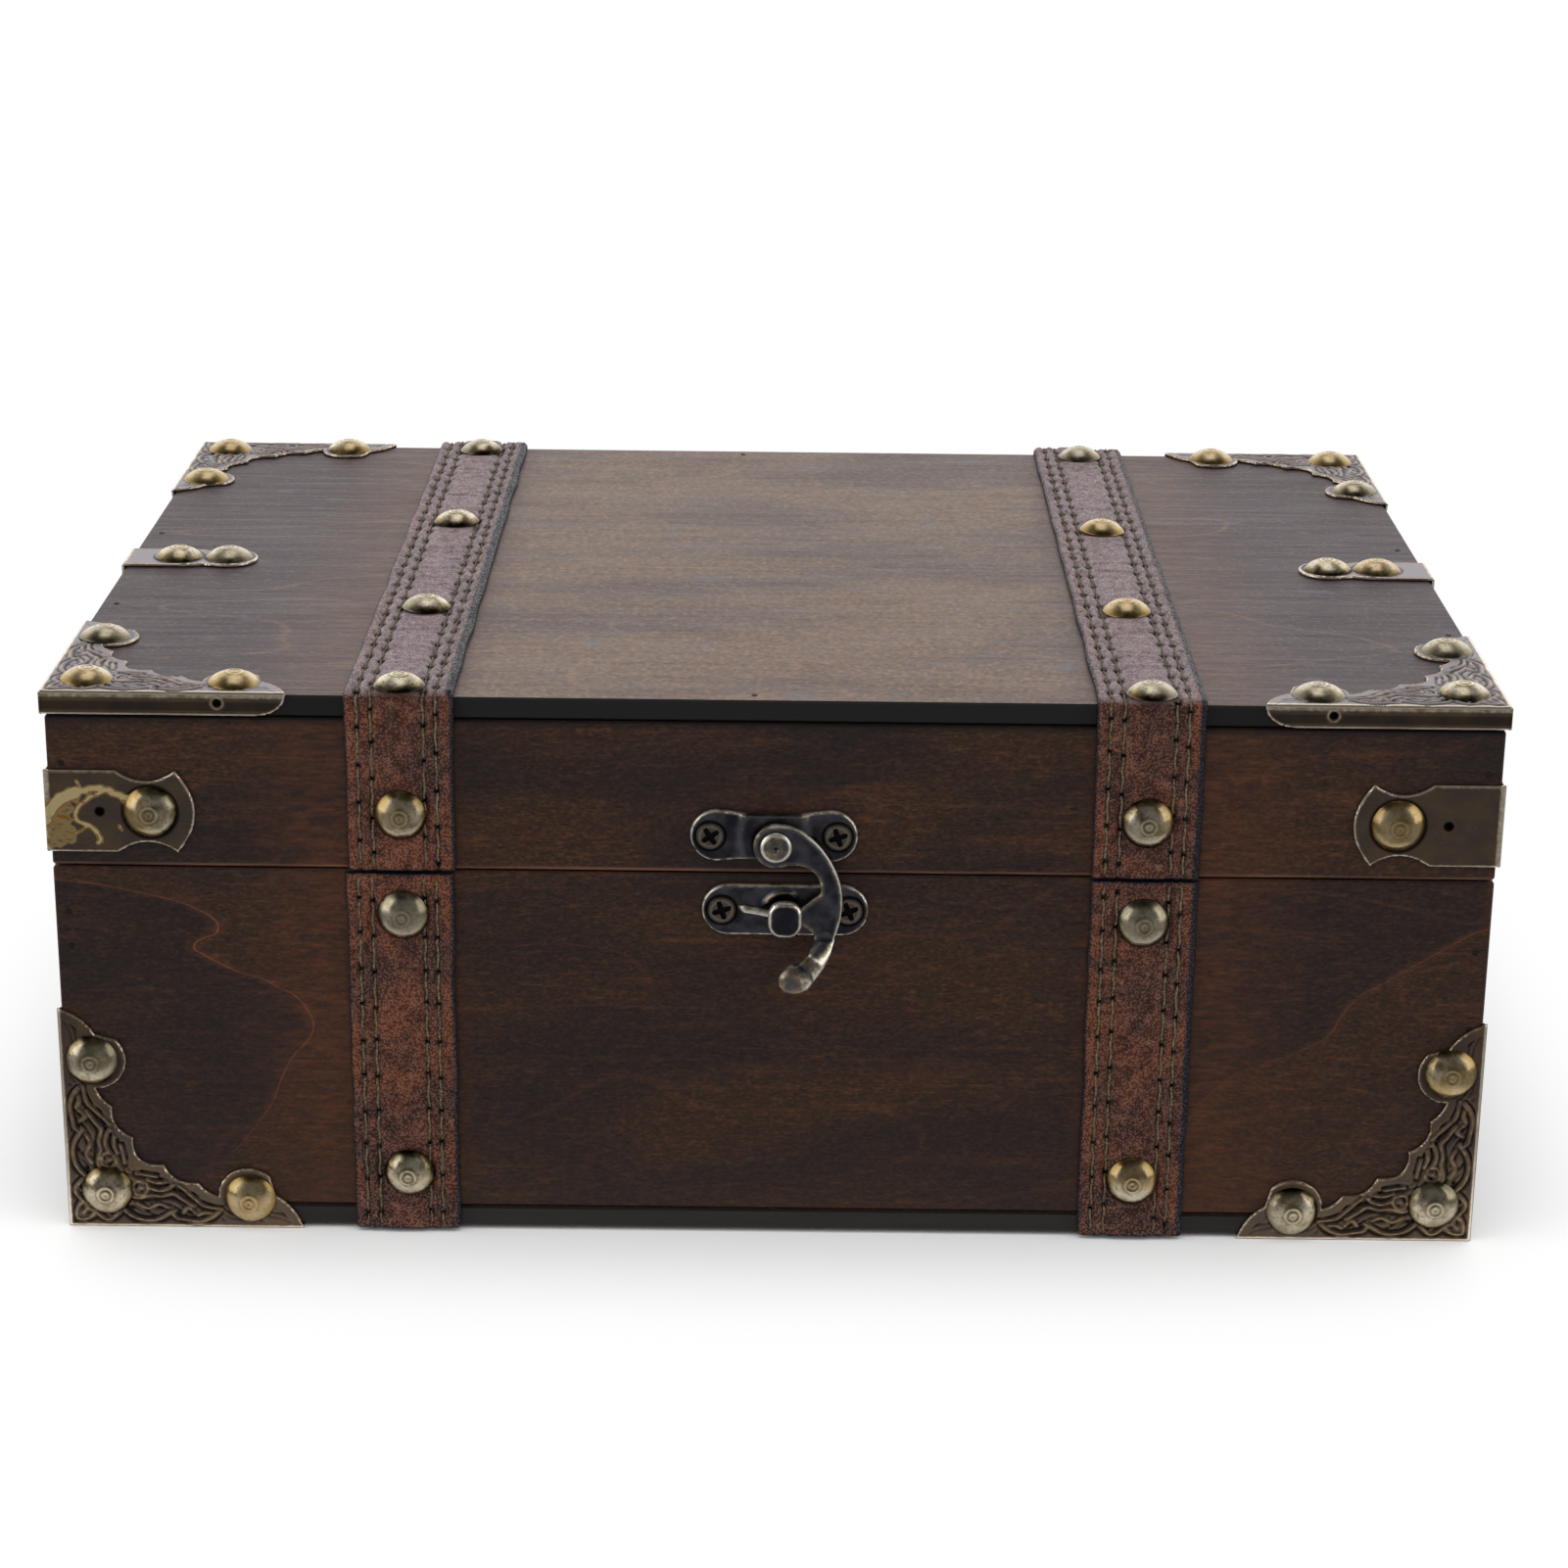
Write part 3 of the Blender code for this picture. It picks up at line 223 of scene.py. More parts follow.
    # Flecks are scarcer in the cool wood
    often = add("MapRange", {0: warmth, 3: 0.35, 4: 1.0})
    for part, low, high, share, stain in layers:
        amount = {0: look[part], 1: low, 2: high, 3: 0.0, 4: share}
        amount = add("MapRange", amount, interpolation_type="SMOOTHSTEP")
        if stain in (STAIN_STREAK, STAIN_FLECK, PANEL_FLECK, PANEL_BLUE):
            held_back = outside if stain == PANEL_BLUE else often
            amount = add("Math", {0: amount, 1: held_back}, operation="MULTIPLY")
        colour = add("Mix", {"Factor": amount, "A": colour, "B": stain}, data_type="RGBA")
    broken = add("MapRange", {0: look["fleck"], 1: 0.3, 2: 0.55, 3: 0.4, 4: 1.0})
    drawn = add("Math", {0: drawn, 1: broken}, operation="MULTIPLY")
    fainter = add("MapRange", {0: inside, 3: 1.0, 4: 0.4})
    drawn = add("Math", {0: drawn, 1: fainter}, operation="MULTIPLY")
    ink = PANEL_FLECK if panel else STAIN_LINE
    colour = add("Mix", {"Factor": drawn, "A": colour, "B": ink}, data_type="RGBA")
    # Painted reflection of the straps in the varnish: the wood is painted warmer beside the straps,
    # most along their outer side
    outer = add("MapRange", {0: off_middle, 1: 84 * MM, 2: 106 * MM, 3: 0.7, 4: 0.0})
    inner = add("MapRange", {0: off_middle, 1: 58 * MM, 2: 61 * MM, 3: 0.0, 4: 0.3})
    strap_reflection = add("Math", {0: outer, 1: inner}, operation="MINIMUM")
    is_outer = add("Math", {0: off_middle, 1: 72 * MM}, operation="GREATER_THAN")
    strap_reflection = add("Mix", {"Factor": is_outer, "A": strap_reflection, "B": outer}, data_type="FLOAT")
    uneven = add("MapRange", {0: look["fleck"], 1: 0.35, 2: 0.65, 3: 0.15, 4: 0.8})
    strap_reflection = add("Math", {0: strap_reflection, 1: uneven}, operation="MULTIPLY")
    strap_reflection = add("Math", {0: strap_reflection, 1: outside}, operation="MULTIPLY")
    warm = PANEL_STRAP_REFLECTION if panel else STAIN_STREAK
    colour = add("Mix", {"Factor": strap_reflection, "A": colour, "B": warm}, data_type="RGBA")
    flat = add("Math", {0: facing}, operation="ABSOLUTE")
    if panel:
        sawn = add("MapRange", {0: flat, 1: 0.8, 2: 0.95, 3: 1.0, 4: 0.0})
        is_top = add("Math", {0: z, 1: SPLIT * MM}, operation="GREATER_THAN")
        edge = {"Factor": is_top, "A": SAWN_BELOW, "B": SAWN_EDGE}
        edge = add("Mix", edge, data_type="RGBA")
        colour = add("Mix", {"Factor": sawn, "A": colour, "B": edge}, data_type="RGBA")
    else:
        # The lid's sawn edge is rubbed pale where it meets the base
        above = add("Math", {0: z, 1: LID_RIM * MM}, operation="SUBTRACT")
        rubbed = add("MapRange", {0: above, 1: 0.2 * MM, 2: 0.8 * MM, 3: 0.75, 4: 0.0})
        is_lid = add("Math", {0: above, 1: -0.0001}, operation="GREATER_THAN")
        rubbed = add("Math", {0: rubbed, 1: is_lid}, operation="MULTIPLY")
        upright = add("Math", {0: flat, 1: 0.9}, operation="LESS_THAN")
        rubbed = add("Math", {0: rubbed, 1: upright}, operation="MULTIPLY")
        uneven = add("MapRange", {0: look["streak"], 1: 0.35, 2: 0.6, 3: 0.2, 4: 1.0})
        rubbed = add("Math", {0: rubbed, 1: uneven}, operation="MULTIPLY")
        colour = add("Mix", {"Factor": rubbed, "A": colour, "B": STAIN_RUBBED}, data_type="RGBA")
        # Stain has run down from the top panel's edge on to the boards
        run = add("MapRange", {0: z, 1: (WOOD_TOP - 6.2) * MM, 2: (WOOD_TOP - 4.6) * MM, 4: 0.85})
        colour = add("Mix", {"Factor": run, "A": colour, "B": SAWN_EDGE}, data_type="RGBA")
    rough = add("MapRange", {0: look["streak"], 1: 0.3, 2: 0.7, 3: 0.46, 4: 0.58})
    relief = {0: look["speck"], 1: 0.8, 2: look["pore"]}
    relief = add("Math", relief, operation="MULTIPLY_ADD")
    bump = add("Bump", {"Height": relief, "Strength": 0.35, "Distance": 0.14 * MM})
    wire(shader, {"Base Color": colour, "Roughness": rough, "Normal": bump})
    return finish


def coat(node, finish):
    """Give one of the CAD's solids a finish."""
    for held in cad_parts[node].material_slots:
        held.material = finish


# Growth lines on the base's front, as (height, distance in from the side): the left one is
# sharp and orange with warm wood to its right, the right one faint
LEFT_LINE = (
    (0, 10), (6, 18), (11.4, 26.3), (16.2, 32.4), (21.6, 36.9), (27, 40.6), (32.3, 42.7),
    (36.6, 44.8), (41.9, 48.9), (44, 49.4), (47, 48.4), (50.2, 45.8), (52, 42.5), (53.3, 40.4),
    (54.6, 36), (56, 33), (57.6, 30), (58.8, 28), (60, 26.6), (61, 27), (62.2, 29), (63, 31),
    (64.8, 31.5), (66.2, 30.5), (67.8, 28), (69.2, 25), (70.6, 20), (71.7, 15), (72.7, 10),
    (73.4, 5), (74, 0),
)
RIGHT_LINE = (
    (0, 60), (22.7, 58), (34.7, 49.1), (37.6, 42.8), (41.2, 34.6), (44.7, 29.7), (48.2, 28),
    (52.1, 25), (54.9, 20.7), (58.1, 15.8), (61.2, 10.9), (66.1, 2.9), (67.2, 0.4), (70.2, 0),
)
front_wood = stained_wood(
    "walnut_stained_plywood", 0, lines=((-1, 0.95, 0.6, LEFT_LINE), (1, 0.15, 0.3, RIGHT_LINE))
)
side_wood = stained_wood("walnut_stained_plywood_sides", math.pi / 2)
for body in ("base", "lid"):
    for side in ("front", "back", "left", "right"):
        coat(f"{body}_{side}_board", front_wood if side in ("front", "back") else side_wood)

# Top and bottom panels. 4 mm plywood with its grain along the chest, pinned down on the boards
# with fine brads; its sawn edge drinks the stain and is almost blue-black.
panel_wood = stained_wood("walnut_stained_panel", 0, panel=True)
for node in ("lid_top_panel", "base_bottom_panel"):
    coat(node, panel_wood)

PIN_RADIUS = 0.6
PIN_DEPTH = 0.35
PIN_IRON = "#120e0d"
PIN_RUST = "#3a2c24"


def mesh_of(name, points, faces, crease=None, marks=()):
    """A mesh from points in millimetres, shaded smooth up to the crease angle in degrees.
    Marks are named values on the points, such as wear, which the finishes read."""
    mesh = bpy.data.meshes.new(name)
    mesh.from_pydata((np.asarray(points, float) * MM).tolist(), [], [tuple(f) for f in faces])
    mesh.validate()
    mesh.shade_smooth()
    if crease is not None:
        mesh.set_sharp_from_angle(angle=math.radians(crease))
    for mark, values in dict(marks).items():
        held = mesh.attributes.new(mark, "FLOAT", "POINT")
        held.data.foreach_set("value", np.asarray(values, np.float32))
    return mesh


def add_piece(name, mesh, finish, body, slot, *nodes):
    """Put a mesh in the scene as a piece of the chest that moves with one body."""
    piece = bpy.data.objects.new(name, mesh)
    bpy.context.collection.objects.link(piece)
    mesh.materials.append(finish)
    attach(piece, body)
    if nodes:
        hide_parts(*nodes)


def spun(profile, sides):
    """A turned shape from (radius, height) pairs, as points and faces."""
    points, faces, rings = [], [], []
    for radius, height in profile:
        turns = np.arange(sides) * 2 * math.pi / sides if radius else [0.0]
        rings.append(range(len(points), len(points) + len(turns)))
        points += [(radius * math.cos(t), radius * math.sin(t), height) for t in turns]
    for upper, lower in zip(rings, rings[1:]):
        for step in range(sides):
            after = (step + 1) % sides
            above = [upper[0]] if len(upper) == 1 else [upper[step], upper[after]]
            below = [lower[0]] if len(lower) == 1 else [lower[after], lower[step]]
            faces.append((above + below)[::-1])
    return np.array(points), faces


def moved(shape, matrix):
    """A shape of points, faces and marks, put in its place."""
    points, faces, *marks = shape
    turn = np.array(matrix.to_3x3())
    if matrix.determinant() < 0:
        faces = [face[::-1] for face in faces]
    return (points @ turn.T + np.array(matrix.translation), faces, *marks)


def gathered(shapes):
    """Several shapes as one."""
    points, faces, marks, start = [], [], [], 0
    for shape in shapes:
        points.append(shape[0])
        faces += [tuple(start + corner for corner in face) for face in shape[1]]
        marks.append(shape[2] if len(shape) > 2 else np.zeros(len(shape[0])))
        start += len(shape[0])
    return np.concatenate(points), faces, np.concatenate(marks)


def framed(origin, right, up):
    """Place of a piece whose own +X runs right, +Y up and +Z out of the wood."""
    matrix = Matrix((right, up, right.cross(up))).transposed().to_4x4()
    matrix.translation = Vector(origin)
    return matrix


X_AXIS, Y_AXIS, Z_AXIS = (Vector(axis) for axis in ((1, 0, 0), (0, 1, 0), (0, 0, 1)))
FRONT_FACE = framed((0, FRONT, 0), X_AXIS, Z_AXIS)
BACK_FACE = framed((0, BACK, 0), -X_AXIS, Z_AXIS)
TOP_FACE = framed((0, MIDDLE, WOOD_TOP), X_AXIS, Y_AXIS)


def at(face, across, along, out=0.0):
    """A place on a face, raised out of it."""
    return face @ Matrix.Translation((across, along, out))


pin_iron, shader, add = new_finish("blackened_brad_iron", Metallic=0.7, Roughness=0.6)
rust = add("TexNoise", {"Vector": add("TexCoord", {}, "Object"), "Scale": 1250.0})
rust = add("Mix", {"Factor": rust, "A": PIN_IRON, "B": PIN_RUST}, data_type="RGBA")
wire(shader, {"Base Color": rust})
pin_head = spun(
    ((0, 0.05), (0.3, 0.05), (0.42, 0.02), (PIN_RADIUS, 0.09), (PIN_RADIUS, -PIN_DEPTH)), 12
)
END_PIN = HALF_WIDTH - 2.7
front_pins = ((-END_PIN, 60.2), (-END_PIN, 67.3), (END_PIN, 45.6), (END_PIN, 61.9))
lid_end_pins = ((-END_PIN, 97.8), (END_PIN, 98.6))
top_pins = ((-136.4, 17.5), (-136.4, -38.4), (136.4, 14.8), (136.4, -50.6), (-9, 96), (-4, -96))
for body, faces, places in (
    ("base", (FRONT_FACE, BACK_FACE), front_pins),
    ("lid", (FRONT_FACE, BACK_FACE), lid_end_pins),
    ("lid", (TOP_FACE,), top_pins),
):
    heads = [moved(pin_head, at(face, *place)) for face in faces for place in places]
    name = "top_panel_brads" if faces == (TOP_FACE,) else f"{body}_brads"
    mesh = mesh_of(name, *gathered(heads)[:2])
    add_piece(name, mesh, pin_iron, body, "latch_gunmetal")

# Straps. Embossed split leather 21 mm wide with a padded middle, sewn in two rows along each
# edge and cut at the saw line of the lid; the sheared edge is dyed blue-black.
STRAP_HALF = 10.4
STRAP_CENTRE = sum(corner.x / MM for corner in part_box("lid_strap_right")) / 2
LIFT = 0.3
BEND = 0.6
STRAP_STEP = 0.5
STRAP_EDGE = 1.28
STRAP_PAD = 0.3
STRAP_ASKEW = {"base_strap_front_left": -0.5}
STITCH_ROWS = (-7.9, -5.3, 4.7, 7.1)
STITCH_PITCH = 7.4
STRAP_END = 0.2
NAIL_SEAT = 7.1
LEATHER_CRACK = "#2b1813"
LEATHER_BODY = "#4c2b20"
LEATHER_PEAK = "#6e4633"
LEATHER_WARM = "#713c20"
LEATHER_COOL = "#33211f"
# Grey-mauve painted sheen on the straps' upward faces
LEATHER_TOP_SHEEN = "#84747a"
LEATHER_CUT = "#17171f"
# Near-black painted shade in the needle holes
LEATHER_HOLE_SHADE = "#040303"


def layered(add, colour, layers):
    """Colours laid over one another, each from nothing where its value is low up to its share
    where the value is high."""
    for value, low, high, share, tone in layers:
        amount = {0: value, 1: low, 2: high, 3: 0.0, 4: share}
        amount = add("MapRange", amount, interpolation_type="SMOOTHSTEP")
        colour = add("Mix", {"Factor": amount, "A": colour, "B": tone}, data_type="RGBA")
    return colour


leather, shader, add = new_finish("crackled_split_leather")
# Pebbles half a millimetre across with dark cracks between them, orange along both edges and in
# patches, and short scuffs where the finish is rubbed through; only the crowns shine
place = add("TexCoord", {}, "Object")
ruffle = add("TexNoise", {"Vector": place, "Scale": 2600.0, "Detail": 2.0})
pebble = add("TexVoronoi", {"Vector": place, "Scale": 2200.0}, "Distance")
pebble = add("Math", {0: ruffle, 1: 0.9, 2: pebble}, operation="MULTIPLY_ADD")
drift = add("TexNoise", {"Vector": place, "Scale": 500.0, "Detail": 4.0})
patch = add("TexNoise", {"Vector": place, "Scale": 95.0, "Detail": 3.0})
smear = add("Mapping", {"Vector": place, "Scale": (140, 140, 760), "Location": (21, 21, 21)})
smear = add("TexNoise", {"Vector": smear, "Scale": 1.0, "Detail": 4.0})
edge, cut, hole_shade = (
    add("Attribute", {}, "Fac", attribute_name=name) for name in ("edge", "cut", "hole_shade")
)
warm = add("Math", {0: edge, 1: 0.12, 2: patch}, operation="MULTIPLY_ADD")
colour = layered(add, LEATHER_BODY, (
    (warm, 0.46, 0.66, 0.65, LEATHER_WARM),
    (patch, 0.48, 0.36, 0.6, LEATHER_COOL),
    (drift, 0.5, 0.68, 0.65, LEATHER_PEAK),
    (drift, 0.5, 0.32, 0.75, LEATHER_CRACK),
    (pebble, 0.9, 0.55, 0.45, LEATHER_PEAK),
    (pebble, 0.9, 1.15, 0.7, LEATHER_CRACK),
    (smear, 0.64, 0.76, 0.5, LEATHER_WARM),
))
# Painted sheen: where the padded middle runs over the top, its upward faces are painted grey-mauve
# as if mirroring the bright studio
facing = add("SeparateXYZ", {0: add("TexCoord", {}, "Normal")}, "Z")
polish_and_sheen = add("MapRange", {0: facing, 1: 0.4, 2: 0.8, 3: 0.0, 4: 0.75})
inner = add("MapRange", {0: edge, 1: 0.0, 2: 0.6, 3: 1.0, 4: 0.8})
polish_and_sheen = add("Math", {0: polish_and_sheen, 1: inner}, operation="MULTIPLY")
patchy = add("MapRange", {0: drift, 1: 0.3, 2: 0.65, 3: 0.35, 4: 1.0})
polish_and_sheen = add("Math", {0: polish_and_sheen, 1: patchy}, operation="MULTIPLY")
for share, tone in ((polish_and_sheen, LEATHER_TOP_SHEEN), (cut, LEATHER_CUT), (hole_shade, LEATHER_HOLE_SHADE)):
    colour = add("Mix", {"Factor": share, "A": colour, "B": tone}, data_type="RGBA")
raised = add("MapRange", {0: pebble, 1: 1.1, 2: 0.6}, interpolation_type="SMOOTHSTEP")
bump = add("Bump", {"Height": raised, "Strength": 0.5, "Distance": 0.1 * MM})
rough = add("MapRange", {0: raised, 3: 0.6, 4: 0.34})
shine = add("MapRange", {0: raised, 3: 0.1, 4: 0.75})
shine = {"Base Color": colour, "Normal": bump, "Roughness": rough, "Specular IOR Level": shine}
wire(shader, shine)


def ease(share):
    """A soft step from 0 to 1."""
    share = np.clip(share, 0, 1)
    return share * share * (3 - 2 * share)


def swell(off, half):
    """A soft ridge: 1 where the distance off is nothing, about a third at the half width."""
    return np.exp(-((off / half) ** 2))


def quads(rings, loop, turned=False, closed=True):
    """Four-sided faces between rings of points laid one after the other."""
    faces = []
    for ring in range(rings - 1):
        for step in range(loop if closed else loop - 1):
            here, after = ring * loop + step, ring * loop + (step + 1) % loop
            if turned:
                faces.append((here, here + loop, after + loop, after))
            else:
                faces.append((here, after, after + loop, here + loop))
    return faces


def tube(rings, loop, turned=False):
    """The same faces with both ends closed."""
    ends = [tuple(range(loop))[::-1], tuple(range((rings - 1) * loop, rings * loop))]
    return quads(rings, loop, turned) + [end[::-1] if turned else end for end in ends]


def strap_run(path):
    """Points every half millimetre along a path of (depth, height, outward) corners."""
    places, outward = [], []
    for (start, end, way) in path:
        steps = max(2, round((Vector(end) - Vector(start)).length / STRAP_STEP))
        for step in range(steps):
            places.append(Vector(start).lerp(Vector(end), step / steps))
            outward.append(Vector(way))
        if end == path[-1][1]:
            places.append(Vector(end))
            outward.append(Vector(way))
            continue
        turn_to = Vector(path[path.index((start, end, way)) + 1][2])
        centre = Vector(end) - BEND * Vector(way)
        for step in range(1, 8):
            facing = Vector(way).lerp(turn_to, step / 8).normalized()
            places.append(centre + BEND * facing)
            outward.append(facing)
    places, outward = np.array(places), np.array(outward)
    steps = np.linalg.norm(np.diff(places + outward, axis=0), axis=1)
    return places, outward, np.concatenate([[0], np.cumsum(steps)])


def needle_holes(chance, length):
    """Where the awl went through, a little uneven, from one end of a row to the other."""
    holes = np.arange(chance.uniform(1.5, STITCH_PITCH), length, STITCH_PITCH)
    return holes + chance.normal(0, 0.3, len(holes))


def strap_shape(run, centre, nails, seed):
    """The strap's skin: padded middle, sewn channels that pucker between the needle holes,
    creases across the middle, and a seat pressed in at each nail."""
    places, outward, along = run
    chance = np.random.default_rng(seed)
    rows = [(row, needle_holes(chance, along[-1])) for row in STITCH_ROWS]
    across = np.concatenate(
        [
            np.linspace(-STRAP_HALF, -STRAP_HALF + 0.9, 5)[:-1],
            np.linspace(-STRAP_HALF + 0.9, STRAP_HALF - 0.9, 64),
            np.linspace(STRAP_HALF - 0.9, STRAP_HALF, 5)[1:],
        ]
    )
    x, s = np.meshgrid(across, along)
    height = STRAP_EDGE + STRAP_PAD * ease((4.5 - np.abs(x + 0.15)) / 1.5)
    height -= 0.62 * ease((np.abs(x) - STRAP_HALF + 0.9) / 0.9) ** 2
    hole_shades = np.zeros_like(x)
    # Over the top the holes are stretched wide and the leather puckers more
    flat = np.clip(outward[:, 1], 0, 1)[:, None]
    stretch = 1 + 0.5 * flat
    for row, holes in rows:
        channel = swell(x - row, 0.55)
        nearest = np.min(np.abs(s[..., None] - holes), 2)
        pucker = np.cos(np.clip(nearest / STITCH_PITCH * 2, 0, 1) * math.pi)
        height -= channel * (0.3 + (0.06 + 0.06 * flat) * pucker)
        bank = swell(np.abs(x - row) - 1.15, 0.5)
        height += bank * (0.05 - (0.045 + 0.07 * flat) * pucker)
        for hole in holes:
            aside, ahead = (x - row) / 0.42 / stretch, (s - hole) / 0.62 / stretch
            near = np.exp(-(aside**2 + ahead**2))
            height -= 0.55 * near
            # Painted shade: each needle hole is painted near-black, wider where the holes stretch
            # over the top
            hole_shades = np.maximum(hole_shades, np.clip(2.6 * near, 0, 1))
    for nail in nails:
        reach = np.hypot(x, s - nail)
        height -= 0.36 * ease((NAIL_SEAT - reach) / 2.0)
        height += 0.07 * swell(reach - 7.3, 0.5)
    middle = ease((4.9 - np.abs(x)) / 1.2)
    for _ in range(int(along[-1] / 9)):
        spot, lean = chance.uniform(0, along[-1]), chance.normal(0, 0.12)
        deep = chance.uniform(0.04, 0.12)
        if min((abs(spot - nail) for nail in nails), default=9) < 6:
            continue
        off = s + lean * x - spot
        height -= 1.8 * middle * deep * swell(off, 0.6)
        height += middle * deep * swell(off - 1.7, 1.0)
    for _ in range(9):
        length, lean, phase = chance.uniform(5, 26), chance.normal(0, 0.1), chance.uniform(0, 6)
        height += 0.025 * np.sin(2 * math.pi * (s + lean * x * 5) / length + phase)
    edges = [
        sum(
            0.06 * np.sin(2 * math.pi * along / chance.uniform(9, 50) + chance.uniform(0, 6))
            for _ in range(4)
        )
        for _ in range(2)
    ]
    wide = x + edges[0][:, None] * ease((x - 8) / 2) - edges[1][:, None] * ease((-8 - x) / 2)
    surface = places[:, None] + outward[:, None] * height[..., None]
    rim = places[:, None] + outward[:, None] * 0.02
    count, steps = len(across), len(along)
    loop = count + 4
    points = np.empty((steps, loop, 3))
    points[:, :count, 0] = centre + wide
    points[:, :count, 1:] = surface
    for offset, end, share in ((0, -1, 0.75), (1, -1, 0.0), (2, 0, 0.0), (3, 0, 0.75)):
        points[:, count + offset, 0] = centre + wide[:, end]
        points[:, count + offset, 1:] = rim[:, 0] + share * (surface[:, end] - rim[:, 0])
    marks = {name: np.zeros((steps, loop)) for name in ("cut", "hole_shade", "edge")}
    marks["cut"][:, count:] = 1
    dyed = 9.3 - 0.9 * outward[:, 1][:, None] * (centre < 0) - 0.6 * (centre > 0)
    marks["cut"][:, :count] = np.maximum(ease((x - dyed) / 0.9), ease((-9.8 - x) / 0.5))
    marks["cut"][[0, -1]] = 1
    marks["hole_shade"][:, :count] = hole_shades
    marks["edge"][:, :count] = ease((np.abs(x) - 7.2) / 1.6)
    marks = {name: mark.ravel() for name, mark in marks.items()}
    return points.reshape(-1, 3), tube(steps, loop, True), marks


def add_strap(name, body, path, centre, nails, node, seed):
    """Add one strap's leather and give back its run, which the stitching follows."""
    run = strap_run(path)
    points, faces, marks = strap_shape(run, centre, nails, seed)
    add_piece(name, mesh_of(name, points, faces, 70, marks), leather, body, "strap_leather", node)
    return run


front_skin, back_skin, top_skin = FRONT - LIFT, BACK + LIFT, WOOD_TOP + LIFT
over_lid = (
    ((front_skin, LID_RIM + STRAP_END), (front_skin, top_skin - BEND), (-1.0, 0.0)),
    ((front_skin + BEND, top_skin), (back_skin - BEND, top_skin), (0.0, 1.0)),
    ((back_skin, top_skin - BEND), (back_skin, LID_RIM + STRAP_END), (1.0, 0.0)),
)
strap_runs = {}
for side, sign, seed in (("left", -1, 5), ("right", 1, 12)):
    centre = sign * STRAP_CENTRE
    nodes = [f"lid_nail_{side}_{n}" for n in ("front", "top_1", "top_2", "top_3", "top_4", "back")]
    spots = [sum(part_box(node), Vector()) / 2 / MM for node in nodes]
    foot = LID_RIM + STRAP_END
    rise = top_skin - foot
    run_length = rise + (back_skin - front_skin) + rise + 2.0
    nails = [spots[0].z - foot]
    nails += [rise + 1.0 + spot.y - front_skin for spot in spots[1:5]]
    nails.append(run_length - (spots[5].z - foot))
    node = f"lid_strap_{side}"
    strap_runs[node] = add_strap(f"{node}_leather", "lid", over_lid, centre, nails, node, seed)
    for face, skin, way in (("front", front_skin, -1.0), ("back", back_skin, 1.0)):
        low, high = WOOD_BOTTOM + STRAP_END, BASE_RIM - STRAP_END
        path = (((skin, low), (skin, high), (way, 0.0)),)
        if face == "back":
            path = (((skin, high), (skin, low), (way, 0.0)),)
        heights = [
            (sum(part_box(f"base_nail_{face}_{side}_{end}"), Vector()) / 2 / MM).z
            for end in ("upper", "lower")
        ]
        nails = [h - low if face == "front" else high - h for h in heights]
        node = f"base_strap_{face}_{side}"
        seed += 3
        askew = centre + STRAP_ASKEW.get(node, 0.0)
        strap_runs[node] = add_strap(f"{node}_leather", "base", path, askew, nails, node, seed)

# Stitching. Waxed olive-grey thread, 0.5 mm thick, laid in long stitches between needle holes
# in the four channels of each strap; the same seed gives the same holes as in the strap.
THREAD = 0.23
THREAD_SIDES = 6
STITCH_RINGS = 9
THREAD_DARK = "#332d26"
THREAD_LIGHT = "#766a50"
thread, shader, add = new_finish("waxed_linen_thread", Roughness=0.75, Specular_IOR_Level=0.3)
twist = add("TexNoise", {"Vector": add("TexCoord", {}, "Object"), "Scale": 2000.0})
twist = add("MapRange", {0: twist, 1: 0.35, 2: 0.7})
twist = add("Mix", {"Factor": twist, "A": THREAD_DARK, "B": THREAD_LIGHT}, data_type="RGBA")
wire(shader, {"Base Color": twist})


def stitches(run, centre, seed):
    """Each stitch is a thin rope that dips into its two needle holes."""
    places, outward, along = run
    chance = np.random.default_rng(seed)
    shapes = []
    turns = (np.arange(THREAD_SIDES) * math.pi / 3).tolist()
    for row in STITCH_ROWS:
        holes = needle_holes(chance, along[-1])
        holes = [holes[0] - STITCH_PITCH, *holes, holes[-1] + STITCH_PITCH]
        for first, last in zip(holes, holes[1:]):
            first, last = max(first + 0.35, 0.6), min(last - 0.35, along[-1] - 0.6)
            if last - first < 2:
                continue
            s = np.linspace(first, last, STITCH_RINGS)
            lift = STRAP_EDGE - 0.1 - 0.45 * np.abs(np.linspace(-1, 1, STITCH_RINGS)) ** 5
            sway = row + 0.12 * np.sin(s * 1.3 + row)
            middle = np.stack([np.interp(s, along, places[:, k]) for k in (0, 1)], 1)
            facing = np.stack([np.interp(s, along, outward[:, k]) for k in (0, 1)], 1)
            facing /= np.linalg.norm(facing, axis=1)[:, None]
            points = []
            for p, n, h, w in zip(middle, facing, lift, sway):
                for t in turns:
                    across = centre + w + THREAD * math.cos(t)
                    points.append((across, *(p + n * (h + 0.8 * THREAD * math.sin(t)))))
            shapes.append((np.array(points), tube(STITCH_RINGS, THREAD_SIDES)))
    return gathered(shapes)[:2]


for side, sign, seed in (("left", -1, 5), ("right", 1, 12)):
    for node in (f"lid_strap_{side}", f"base_strap_front_{side}", f"base_strap_back_{side}"):
        name = f"{node}_stitching"
        centre = sign * STRAP_CENTRE + STRAP_ASKEW.get(node, 0.0)
        shape = stitches(strap_runs[node], centre, seed)
        add_piece(name, mesh_of(name, *shape), thread, node.split("_")[0], "strap_leather")
        seed += 3

